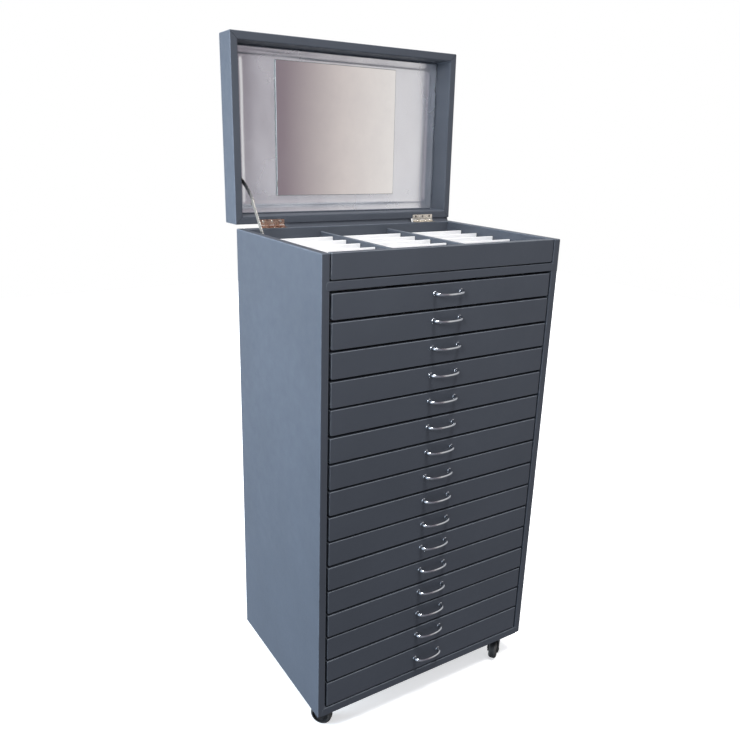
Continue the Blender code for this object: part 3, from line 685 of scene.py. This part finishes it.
def drawer(level, rng):
    number = f"{level + 1:02d}"
    body = "drawer_" + number
    low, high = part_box(body)
    base = level_base(level)
    front = drawer_front(low, high, rng)
    piece("drawer_front_" + number, front, LEATHERETTE_HIGHLIT_EDGES, body, [body])

    left, right = low.x + BOX_INSET, high.x - BOX_INSET
    front_y, back_y = low.y + FRONT_THICKNESS, high.y
    floor_z, top_z = base + BOX_LIFT, base + BOX_LIFT + BOX_HEIGHT
    floor_high = (right - 0.001, back_y - 0.001, floor_z + BOX_FLOOR)
    shapes = [block((left + 0.001, front_y, floor_z), floor_high, 0.0004, 1)]
    for x in (left, right - BOX_WALL):
        shapes.append(block((x, front_y, floor_z), (x + BOX_WALL, back_y, top_z), 0.0012, 3))
    back_low = (left + BOX_WALL - FIT_GAP, back_y - BOX_WALL, floor_z)
    back_high = (right - BOX_WALL + FIT_GAP, back_y, top_z - FIT_GAP)
    shapes.append(block(back_low, back_high, 0.0012, 3))
    stretches = columns(left + BOX_WALL, right - BOX_WALL, DIVIDER)
    pocket_floor = floor_z + BOX_FLOOR
    for (_, start), (end, _) in zip(stretches, stretches[1:]):
        divider_low = (start, front_y, pocket_floor - FIT_GAP)
        divider_high = (end, back_y - BOX_WALL + FIT_GAP, top_z - 0.003)
        shapes.append(block(divider_low, divider_high, 0.0014, 3))
    piece("drawer_box_" + number, joined(*shapes), LEATHERETTE, body)
    cards = []
    for start, end in stretches:
        card_low = (start + CARD_SLACK, front_y + CARD_SLACK)
        card_high = (end - CARD_SLACK, back_y - BOX_WALL - CARD_SLACK)
        cards += pocket_card(card_low, card_high, pocket_floor + FIT_GAP, top_z - CARD_DROP)
    piece("drawer_cards_" + number, joined(*cards), CARD_WHITE, body)
    bow = bow_shape(*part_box("handle_" + number))
    piece("bow_pull_" + number, bow, CHROME, body, ["handle_" + number], 50)


def drawers():
    rng = random.Random(SEED)
    for level in range(DRAWER_COUNT):
        drawer(level, rng)


# ---- Lid


def lid_case():
    """The wrapped lid: one board all over, four walls, mitred at the corners of the rim."""
    case = block((-HALF_WIDTH, LID_FAR, LID_BOTTOM), (HALF_WIDTH, LID_NEAR, LID_TOP))
    rim = min(case.faces, key=lambda face: face.calc_center_median().z)
    bmesh.ops.inset_region(case, faces=[rim], thickness=BOARD, use_even_offset=True)
    case.faces.ensure_lookup_table()
    raise_face(case, rim, LID_DEPTH - LID_BOARD)
    if rim.is_valid:
        bmesh.ops.delete(case, geom=[rim], context="FACES_ONLY")
    face_outwards(case)
    edges = [edge for edge in case.edges if edge.calc_face_angle(0) > math.radians(30)]
    round_edges(case, edges, BOARD_ROUNDING, 4)
    slits = []
    length = BOARD * math.sqrt(2) * 1.2
    for x in (-1, 1):
        for y in (LID_NEAR - BOARD / 2, LID_FAR + BOARD / 2):
            slit = block((-length / 2, -0.00050, -0.0014), (length / 2, 0.00050, 0.0014))
            turn = math.pi / 4 if (x > 0) == (y > LID_FAR + BOARD) else -math.pi / 4
            place = at(x * (HALF_WIDTH - BOARD / 2), y, LID_BOTTOM)
            slits.append(moved(slit, place @ Matrix.Rotation(turn, 4, "Z")))
    case = cut(case, *slits)
    piece("lid_case", moved(case, LID_TURN), LEATHERETTE, "lid", ["lid_frame"])


def lid_inner_wraps():
    """The turned-in edge of the leatherette, a narrow raised band inside the rim."""
    width, thick, set_back, short = 0.0075, 0.0006, 0.0030, 0.002
    zs = (LID_BOTTOM + set_back, LID_BOTTOM + set_back + width)
    half, near, far = INNER_HALF, LID_NEAR - BOARD, LID_FAR + BOARD
    shapes = []
    for side in (-1, 1):
        xs = sorted((side * (half + thick), side * (half - thick)))
        shapes.append(block((xs[0], far + short, zs[0]), (xs[1], near - short, zs[1]), thick / 2, 2))
    for y in (near, far):
        band = (-half + short, y - thick, zs[0]), (half - short, y + thick, zs[1])
        shapes.append(block(*band, thick / 2, 2))
    wraps = moved(joined(*shapes), LID_TURN)
    piece("lid_turned_in_wraps", wraps, LEATHERETTE_HIGHLIT_EDGES, "lid", edge_width=THIN_EDGE)


def hump(place, middle, width):
    """1 at the middle, falling off smoothly to both sides."""
    return math.exp(-(((place - middle) / width) ** 2))


def lining_height(x, y, half_x, low_y, high_y):
    """How far the lining stands off its board: a soft fold along its border, and a few slack wrinkles."""
    edge = min(half_x - abs(x), y - low_y, high_y - y)
    fold = 0.0010 * hump(edge, 0.021, 0.0042)
    fold += 0.0006 * hump(edge, 0.0, 0.005)
    slack = 0.0
    top = y - low_y
    left = x + half_x
    # Wrinkles along the top edge, towards the left, then down the left edge
    for index in range(4):
        wander = 0.0030 * noise.noise(Vector((left * 7.0, index * 3.7, 1.3)))
        line = 0.010 + 0.0075 * index + wander
        slack += 0.0005 * hump(left, 0.11 + 0.025 * index, 0.075) * hump(top, line, 0.0020)
    for index in range(3):
        wander = 0.0025 * noise.noise(Vector((index * 5.1, top * 9.0, 4.1)))
        line = 0.008 + 0.008 * index + wander
        slack += 0.0004 * hump(top, 0.12, 0.10) * hump(left, line, 0.0018)
    ripple = 0.00030 * noise.noise(Vector((x * 16.0, y * 16.0, 7.7)))
    return fold + slack + ripple


def add_cloth(shape, grid):
    """A net of faces over rows of points."""
    rows = [[shape.verts.new(point) for point in line] for line in grid]
    for first, second in zip(rows, rows[1:]):
        for i in range(len(first) - 1):
            shape.faces.new((first[i], second[i], second[i + 1], first[i + 1]))


def thicken(cloth, thickness):
    solid = cloth.modifiers.new("cloth_thickness", "SOLIDIFY")
    solid.thickness = thickness
    solid.offset = 0.0


def lid_lining():
    """The satin sheet glued inside the lid, with its folded border and wrinkles."""
    half_x = INNER_HALF - LINING_MARGIN
    low_y, high_y = LID_FAR + BOARD + LINING_MARGIN, LID_NEAR - BOARD - LINING_MARGIN
    columns_across, rows = 220, 150
    surface = LID_TOP - LID_BOARD - FIT_GAP - LINING / 2
    grid = []
    for row in range(rows + 1):
        y = low_y + (high_y - low_y) * row / rows
        line = []
        for column in range(columns_across + 1):
            x = -half_x + 2 * half_x * column / columns_across
            line.append((x, y, surface - lining_height(x, y, half_x, low_y, high_y)))
        grid.append(line)
    shape = bmesh.new()
    add_cloth(shape, grid)
    face_outwards(shape)
    lining = piece("satin_sheet", moved(shape, LID_TURN), SATIN, "lid", ["lid_lining"])
    thicken(lining, 0.0004)


def mirror():
    """The mirror's silvered face with its ground bevel, and the glass edge behind it."""
    top = LID_TOP - LID_BOARD - 2 * FIT_GAP - LINING
    low = Vector((MIRROR_OFFSET - MIRROR_WIDTH / 2, LID_NEAR - MIRROR_FROM_EDGE - MIRROR_HEIGHT / 2, 0))
    high = low + Vector((MIRROR_WIDTH, MIRROR_HEIGHT, 0))
    outline = rounded_outline(low.xy, high.xy, [0.0015] * 4, 4)
    glass = slab(outline, top - MIRROR_THICKNESS, top - 0.0009, 0.0006, 2)
    piece("mirror_glass_edge", moved(glass, LID_TURN), MIRROR_EDGE, "lid")
    face = bmesh.new()
    outer, inner = (
        rounded_outline((low.x + inset, low.y + inset), (high.x - inset, high.y - inset), [radius] * 4, 4)
        for inset, radius in ((MIRROR_MARGIN, 0.0012), (MIRROR_BEVEL, 0.0008))
    )
    z_outer, z_inner = top - MIRROR_THICKNESS + 0.0002, top - MIRROR_THICKNESS - 0.0004
    rim = [face.verts.new((x, y, z_outer)) for x, y in outer]
    flat = [face.verts.new((x, y, z_inner)) for x, y in inner]
    back = [face.verts.new((x, y, z_outer + 0.0004)) for x, y in outer]
    for i in range(len(rim)):
        after = (i + 1) % len(rim)
        face.faces.new((rim[i], rim[after], flat[after], flat[i]))
        face.faces.new((back[i], back[after], rim[after], rim[i]))
    face.faces.new(flat)
    face.faces.new(back)
    face_outwards(face)
    piece("mirror_face", moved(face, LID_TURN), MIRROR, "lid", ["mirror"], 20)


# ---- Hinges and stay


HINGE_X = (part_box("hinge_right_lid_leaf")[0].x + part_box("hinge_right_lid_leaf")[1].x) / 2
LEAF_LENGTH = 0.062
LEAF_REACH = 0.0152
LEAF_EDGE = -0.0012
LEAF_CORNER = 0.0022
LEAF_THICKNESS = 0.0010
KNUCKLES = 5
KNUCKLE_RADIUS = 0.0022
KNUCKLE_SLACK = 0.0004
SCREW_ROW = -0.0108
SCREW_PLACES = (-0.0215, 0.0, 0.0215)


def screw(place, turn):
    """A countersunk screw head with a cross recess, lying in a plate; its own +Z is outwards."""
    head = turned([(0, -0.0009), (0.0014, -0.0009), (0.0027, 0.0), (0.0025, 0.0002), (0, 0.0003)], 24)
    arms = []
    for angle in (0, math.pi / 2):
        arm = block((-0.0015, -0.0003, -0.0004), (0.0015, 0.0003, 0.0008))
        arms.append(moved(arm, Matrix.Rotation(angle + 0.5, 4, "Z")))
    return moved(cut(head, *arms), at(*place) @ turn)


def leaf_outline(on_lid):
    """A leaf's plate: round outer corners, and notches where the other leaf's knuckles turn."""
    half, pitch = LEAF_LENGTH / 2, LEAF_LENGTH / KNUCKLES
    points = []
    for x, start in ((-half + LEAF_CORNER, 180), (half - LEAF_CORNER, 270)):
        for index in range(7):
            turn = math.radians(start + 15 * index)
            y = LEAF_CORNER * (1 + math.sin(turn)) - LEAF_REACH
            points.append((x + LEAF_CORNER * math.cos(turn), y))
    for index in reversed(range(KNUCKLES)):
        own = (index % 2 == 1) == on_lid
        y = LEAF_EDGE if own else -KNUCKLE_RADIUS - KNUCKLE_SLACK
        pull = KNUCKLE_SLACK / 2 if own else -KNUCKLE_SLACK / 2
        left = -half + index * pitch + (pull if index > 0 else 0)
        right = -half + (index + 1) * pitch - (pull if index < KNUCKLES - 1 else 0)
        points += [(right, y), (left, y)]
    return points


def hinge_leaf(side, name, on_lid, body, node):
    """One leaf of a butt hinge about its axis: plate with round corners, screws, knuckles and pin ends."""
    radius, rounding = KNUCKLE_RADIUS, 0.0003
    face = LID_BOTTOM - FIT_GAP
    levels = (face - LEAF_THICKNESS, face) if on_lid else (-face, -face + LEAF_THICKNESS)
    shapes = [slab(leaf_outline(on_lid), *levels, 0.0002, 2)]
    half = (LEAF_LENGTH / KNUCKLES - KNUCKLE_SLACK) / 2
    for index in range(KNUCKLES):
        if (index % 2 == 1) != on_lid:
            continue
        middle = (index + 0.5) * LEAF_LENGTH / KNUCKLES - LEAF_LENGTH / 2
        rings = [(0, -half), (radius - rounding, -half), (radius, -half + rounding)]
        rings += [(r, -h) for r, h in reversed(rings)]
        shapes.append(moved(turned(rings, 32), at(middle, 0, 0) @ QUARTER_Y))
    if not on_lid:
        for end in (-1, 1):
            tip = turned([(0, -0.0002), (0.0015, -0.0002), (0.0014, 0.0005), (0, 0.0008)], 24)
            facing = Matrix.Rotation(end * math.pi / 2, 4, "Y")
            shapes.append(moved(tip, at(end * LEAF_LENGTH / 2, 0, 0) @ facing))
    place = (LID_TURN if on_lid else at(*LID_AXIS)) @ at(side * HINGE_X, 0, 0)
    plating, screw_metal = (NICKEL, DARK_STEEL) if side > 0 else (COPPERY, NICKEL)
    piece(name, moved(joined(*shapes), place), plating, body, [node])
    outward = Matrix.Rotation(math.pi, 4, "X") if on_lid else Matrix()
    screw_z = levels[0] if on_lid else levels[1]
    screws = [screw((x, SCREW_ROW, screw_z), outward) for x in SCREW_PLACES]
    piece(name + "_screws", moved(joined(*screws), place), screw_metal, body)


def hinges():
    for side, name in ((-1, "left"), (1, "right")):
        for on_lid, body, part in ((False, "cabinet", "cabinet_leaf"), (True, "lid", "lid_leaf")):
            hinge_leaf(side, f"{name}_hinge_{part}", on_lid, body, f"hinge_{name}_{part}")


def hinge_flap():
    """Leatherette glued to the backs of cabinet and lid, which closes the slit behind the hinges."""
    glued, stand_off, margin, clear, step = 0.018, 0.0005, 0.003, 0.0015, 0.012
    path = [Vector((BACK_Y + stand_off, RIM_Z - margin - glued * (1 - i / 6))) for i in range(7)]
    lid_edge = 0.0062
    bend = [(LID_TURN @ Vector((0, LID_NEAR + stand_off, z))).yz for z in (lid_edge, lid_edge + glued)]
    foot, head = path[-1], bend[0]
    knee = LID_AXIS.yz + Vector((0.0040, -0.0012))
    for i in range(1, 8):
        share = i / 8
        path.append(foot * (1 - share) ** 2 + knee * 2 * share * (1 - share) + head * share**2)
    path += [bend[0].lerp(bend[1], i / 6) for i in range(7)]
    inner = HINGE_X - LEAF_LENGTH / 2 - clear
    outer = HINGE_X + LEAF_LENGTH / 2 + clear
    stretches = ((-inner, inner), (outer, HALF_WIDTH - margin))
    shape = bmesh.new()
    for low, high in stretches:
        steps = round((high - low) / step)
        row = [low + (high - low) * i / steps for i in range(steps + 1)]
        add_cloth(shape, [[(x, *point) for x in row] for point in path])
    bmesh.ops.reverse_faces(shape, faces=shape.faces)
    flap = piece("hinge_flap", shape, LEATHERETTE, None)
    thicken(flap, 0.0006)
    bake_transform(flap)


def strip(start, end, bow, width, thick, hole=0.0):
    """A flat bar with round ends between two points of the YZ plane, bowed sideways; thickness along X."""
    start, end = Vector(start), Vector(end)
    along = (end - start).normalized()
    across = Vector((-along.y, along.x))
    half = width / 2
    steps, turns = 16, 12
    line = []
    for index in range(steps + 1):
        share = index / steps
        line.append(start.lerp(end, share) + across * bow * math.sin(math.pi * share))
    outline = [point + across * half for point in line]
    round_end = [Matrix.Rotation(-math.pi * i / turns, 2) @ (across * half) for i in range(1, turns)]
    outline += [end + offset for offset in round_end]
    outline += [point - across * half for point in reversed(line)]
    outline += [start - offset for offset in round_end]
    bar = slab([tuple(point) for point in outline], -thick / 2, thick / 2, 0.0003, 2)
    if hole:
        drill = turned([(0, -0.01), (hole, -0.01), (hole, 0.01), (0, 0.01)], 24)
        bar = cut(bar, moved(drill, at(start.x, start.y, 0)))
    return moved(bar, ONTO_SIDE)


def rivet(x0, x1, y, z, radius, dome=0.0006):
    """A round rivet along X from x0 to its domed end at x1."""
    length = x1 - x0
    profile = [(0, 0), (radius, 0), (radius, length - dome), (radius * 0.8, length - dome * 0.35)]
    return moved(turned(profile + [(0, length)], 28), at(x0, y, z) @ QUARTER_Y)


def lid_stay():
    foot = Vector(JOINTS["stay_foot_pivot"]["pos_m"])
    elbow = Vector(JOINTS["stay_elbow_pivot"]["pos_m"])
    bracket_low, bracket_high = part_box("stay_lid_bracket")
    head = (bracket_low + bracket_high) / 2
    lower_x, upper_x = foot.x, elbow.x
    thick, width, cap = 0.0012, 0.0112, 0.0012
    wall = -INNER_HALF

    lower = moved(strip(foot.yz, elbow.yz, 0.0, width, thick), at(lower_x, 0, 0))
    upper_face = upper_x + thick / 2
    lower_parts = [
        lower,
        rivet(wall + FIT_GAP, lower_x + thick / 2 + 0.0007, foot.y, foot.z, 0.0030),
        rivet(lower_x, upper_face + FIT_GAP + 0.0003, elbow.y, elbow.z, 0.0018, 0.0001),
        rivet(upper_face + FIT_GAP, upper_face + FIT_GAP + cap, elbow.y, elbow.z, 0.0042),
    ]
    piece("stay_lower_link", joined(*lower_parts), AGED, "stay_lower", ["stay_lower_arm"])

    upper = moved(strip(elbow.yz, head.yz, 0.0050, width, thick, hole=0.0021), at(upper_x, 0, 0))
    # The finger tab that frees the locked elbow, a short curl off the upper arm
    along = (head - elbow).normalized()
    across = Vector((0, along.z, -along.y))
    tab_start = elbow + along * 0.002 + across * 0.003
    tab = strip(tab_start.yz, (tab_start + across * 0.0085 + along * 0.005).yz, 0.0012, 0.0060, thick)
    upper = joined(upper, moved(tab, at(upper_x + 0.0003, 0, 0)))
    piece("stay_upper_link", upper, DARK_NICKEL, "stay_upper", ["stay_upper_arm"])

    boss_end = upper_x - thick / 2 - FIT_GAP
    plate = slab(rounded_outline((-0.012, -0.006), (0.012, 0.006), [0.0055] * 4, 6), 0, 0.0010, 0.0003, 2)
    lean = Matrix.Rotation(-LID_OPEN, 4, "X")
    plate = moved(plate, at(wall + FIT_GAP, head.y, head.z) @ lean @ ONTO_SIDE)
    boss = rivet(wall + FIT_GAP + 0.0005, boss_end, head.y, head.z, 0.0040, 0.0003)
    piece("stay_bracket", joined(plate, boss), NICKEL, "lid", ["stay_lid_bracket"])
    screws = []
    for offset in (-0.0085, 0.0085):
        spot = lean @ Vector((0, offset, 0))
        screws.append(screw((wall + FIT_GAP + 0.0010, head.y + spot.y, head.z + spot.z), QUARTER_Y))
    piece("stay_bracket_screws", joined(*screws), DARK_STEEL, "lid")


# ---- Casters


def caster_fork(top, axle_z, trail):
    """Swivel head with its ball race, crown, two tapering legs. Its own +Y is the way the wheel trails."""
    race = [
        (0, top), (0.0178, top), (0.0180, top - 0.0008), (0.0180, top - 0.0030),
        (0.0168, top - 0.0036), (0.0168, top - 0.0044), (0.0176, top - 0.0050),
        (0.0174, top - 0.0078), (0.0150, top - 0.0092), (0, top - 0.0092),
    ]
    shapes = [turned(race, 56)]
    inner, thick = 0.0112, 0.0030
    crown_top, crown_bottom = top - 0.0075, axle_z + 0.0265
    crown = (-inner - 0.002, -0.012, crown_bottom), (inner + 0.002, 0.017, crown_top)
    shapes.append(block(*crown, 0.0015, 4))
    outline = [(-0.0140, crown_top - 0.001), (0.0200, crown_top - 0.001)]
    start, sweep, steps, end_radius = 20, 200, 20, 0.0100
    for index in range(steps + 1):
        turn = math.radians(start - sweep * index / steps)
        outline.append((trail + end_radius * math.cos(turn), axle_z + end_radius * math.sin(turn)))
    for side in (-1, 1):
        leg = slab(outline, -thick / 2, thick / 2, 0.0009, 3)
        shapes.append(moved(leg, at(side * (inner + thick / 2), 0, 0) @ ONTO_SIDE))
    return joined(*shapes)


def caster_bolt(axle_z, trail):
    """The axle: a hexagon head on one side and a round rivet end on the other."""
    lie = at(0, trail, axle_z) @ QUARTER_Y
    rod = turned([(0, -0.0145), (0.0032, -0.0145), (0.0032, 0.0145), (0, 0.0145)], 24)
    head = turned([(0, 0.0143), (0.0048, 0.0143), (0.0048, 0.0155), (0.0040, 0.0157), (0, 0.0157)], 6)
    end = turned([(0, -0.0157), (0.0030, -0.0156), (0.0042, -0.0150), (0.0042, -0.0143), (0, -0.0143)], 24)
    return moved(joined(rod, head, end), lie)


def caster_tread(radius, half):
    rounding = 0.0062
    profile = [(0.0190, half * 0.86), (0.0195, half * 0.98)]
    steps = 10
    for index in range(steps + 1):
        turn = math.pi / 2 * index / steps
        out, up = rounding * math.sin(turn), rounding * math.cos(turn)
        profile.append((radius - rounding + out, half - rounding + up))
    profile += [(r, -h) for r, h in reversed(profile)]
    return turned(profile, 72)


def caster_core(half):
    profile = [
        (0.0043, half * 0.92), (0.0105, half * 0.92), (0.0118, half * 0.86), (0.0124, half * 0.60),
        (0.0150, half * 0.56), (0.0178, half * 0.60), (0.0184, half * 0.80), (0.0192, half * 0.84),
    ]
    profile += [(r, -h) for r, h in reversed(profile)]
    return turned(profile, 72)


def casters():
    for corner in ("front_left", "front_right", "rear_left", "rear_right"):
        swivel = Vector(JOINTS["caster_swivel_" + corner]["pos_m"])
        roll = JOINTS["caster_roll_" + corner]
        axle, axis = Vector(roll["pos_m"]), Vector(roll["axis"])
        out = axle - swivel
        trail = math.hypot(out.x, out.y)
        heading = math.atan2(out.y, out.x) - math.pi / 2
        turn = Matrix.Translation(swivel) @ Matrix.Rotation(heading, 4, "Z")
        fork_body, wheel_body = "caster_fork_" + corner, "caster_wheel_" + corner
        name = "caster_" + corner
        fork = moved(caster_fork(-FIT_GAP, out.z, trail), turn)
        piece(name + "_fork", fork, NYLON, fork_body, [fork_body])
        piece(name + "_bolt", moved(caster_bolt(out.z, trail), turn), DARK_STEEL, fork_body)
        lie = Matrix.Translation(axle) @ axis.to_track_quat("Z", "Y").to_matrix().to_4x4()
        radius, half = axle.z, 0.0100
        tread = moved(caster_tread(radius, half), lie)
        piece(name + "_tread", tread, TREAD, wheel_body, [wheel_body])
        piece(name + "_core", moved(caster_core(half), lie), NYLON, wheel_body)


# ---- Surroundings


def add_camera():
    yaw, down = math.radians(CAMERA_YAW), math.radians(CAMERA_DOWN)
    ahead = Vector((math.sin(yaw) * math.cos(down), math.cos(yaw) * math.cos(down), -math.sin(down)))
    data = bpy.data.cameras.new("camera")
    data.lens = CAMERA_LENS
    data.sensor_width = SENSOR
    camera = linked("camera", data)
    level = ahead.to_track_quat("-Z", "Y").to_matrix().to_4x4()
    tilt = Matrix.Rotation(math.radians(CAMERA_TILT), 4, "Z")
    camera.matrix_world = Matrix.Translation(CAMERA_PLACE) @ level @ tilt
    bpy.context.scene.camera = camera


def add_floor():
    shape = bmesh.new()
    bmesh.ops.create_grid(shape, x_segments=1, y_segments=1, size=5)
    mesh = mesh_of("floor", shape)
    made, shader, coordinates = new_material("pale_floor", (0.90, 0.90, 0.90), 0.8)
    tone = noise_of(coordinates, 3.0, 2.0)
    two_tones(shader, tone, (0.89, 0.89, 0.89), (0.91, 0.91, 0.91))
    shader.inputs["Emission Color"].default_value = (1, 1, 1, 1)
    shader.inputs["Emission Strength"].default_value = 0.55
    mesh.materials.append(made)
    floor = linked("floor", mesh)
    # The lightbox floor shows shadows, and throws no light up at the object
    floor.visible_diffuse = False
    floor.visible_glossy = False
    floor.visible_shadow = False


def add_area_light(name, place, target, size, power, colour, spread=180):
    """A soft box, hidden from the camera; the spread in degrees narrows its beam."""
    data = bpy.data.lights.new(name, "AREA")
    data.shape = "RECTANGLE"
    data.size, data.size_y = size
    data.energy = power
    data.color = colour
    data.spread = math.radians(spread)
    light = linked(name, data)
    light.location = place
    aim = Vector(target) - Vector(place)
    light.rotation_euler = aim.to_track_quat("-Z", "Y").to_euler()
    light.visible_camera = False
    return light


def add_sun(name, towards, strength, spread):
    """A broad soft light that falls evenly on everything from one direction."""
    data = bpy.data.lights.new(name, "SUN")
    data.energy = strength
    data.angle = math.radians(spread)
    light = linked(name, data)
    light.rotation_euler = Vector(towards).to_track_quat("Z", "Y").to_euler()


def add_world():
    """White to the eye; its light is cream from the right, mauve-grey from ahead, blue from the left."""
    world = bpy.data.worlds.new("studio")
    bpy.context.scene.world = world
    world.use_nodes = True
    background = world.node_tree.nodes["Background"]
    direction = add_node(background, "TexCoord").outputs["Generated"]
    parts = add_node(background, "SeparateXYZ", ("Vector", direction))
    ramp = add_node(background, "ValToRGB", ("Fac", parts.outputs["X"]))
    stops = (
        (0.00, (0.34, 0.34, 0.38)),
        (0.30, (0.24, 0.22, 0.25)),
        (0.43, (0.27, 0.22, 0.25)),
        (0.50, (0.71, 0.645, 0.625)),
        (0.57, (0.92, 0.89, 0.86)),
        (1.00, (0.60, 0.60, 0.62)),
    )
    while len(ramp.color_ramp.elements) < len(stops):
        ramp.color_ramp.elements.new(0.5)
    for element, (place, colour) in zip(ramp.color_ramp.elements, stops):
        element.position = place
        element.color = (*colour, 1)
    behind = fade(parts.outputs["Y"], 0.2, 0.9, 0, 1)
    lit = mixed(behind, ramp.outputs["Color"], (0.95, 1.02, 1.08))
    left = fade(parts.outputs["X"], -0.90, -0.45, 1, 0)
    lit = mixed(left, lit, (0.95, 1.10, 1.28))
    below = fade(parts.outputs["Z"], -0.70, -0.10, 1, 0)
    lit = mixed(below, lit, (0.16, 0.165, 0.18))
    seen = add_node(background, "LightPath").outputs["Is Camera Ray"]
    plug(background.inputs["Color"], mixed(seen, lit, (1.0, 1.0, 1.0)))


def surroundings():
    add_camera()
    add_floor()
    add_world()
    add_sun("overhead", (0.0, -0.26, 1.0), 2.3, 16)
    place, target = (-2.8, 0.5, 0.85), (0.0, 0.1, 0.62)
    key = add_area_light("left_key", place, target, (1.4, 2.0), 132, (0.83, 0.97, 1.11))
    key.visible_glossy = False
    place, target = (-1.5, -1.1, 1.85), (0.0, 0.2, 1.33)
    add_area_light("left_front", place, target, (0.4, 0.5), 2.5, (1.0, 0.98, 0.98), 55)
    view = bpy.context.scene.view_settings
    view.view_transform = "Standard"
    view.look = "None"


def main():
    surroundings()
    boards()
    back_laps()
    top_tray()
    drawers()
    lid_case()
    lid_inner_wraps()
    lid_lining()
    mirror()
    hinges()
    hinge_flap()
    lid_stay()
    casters()


main()
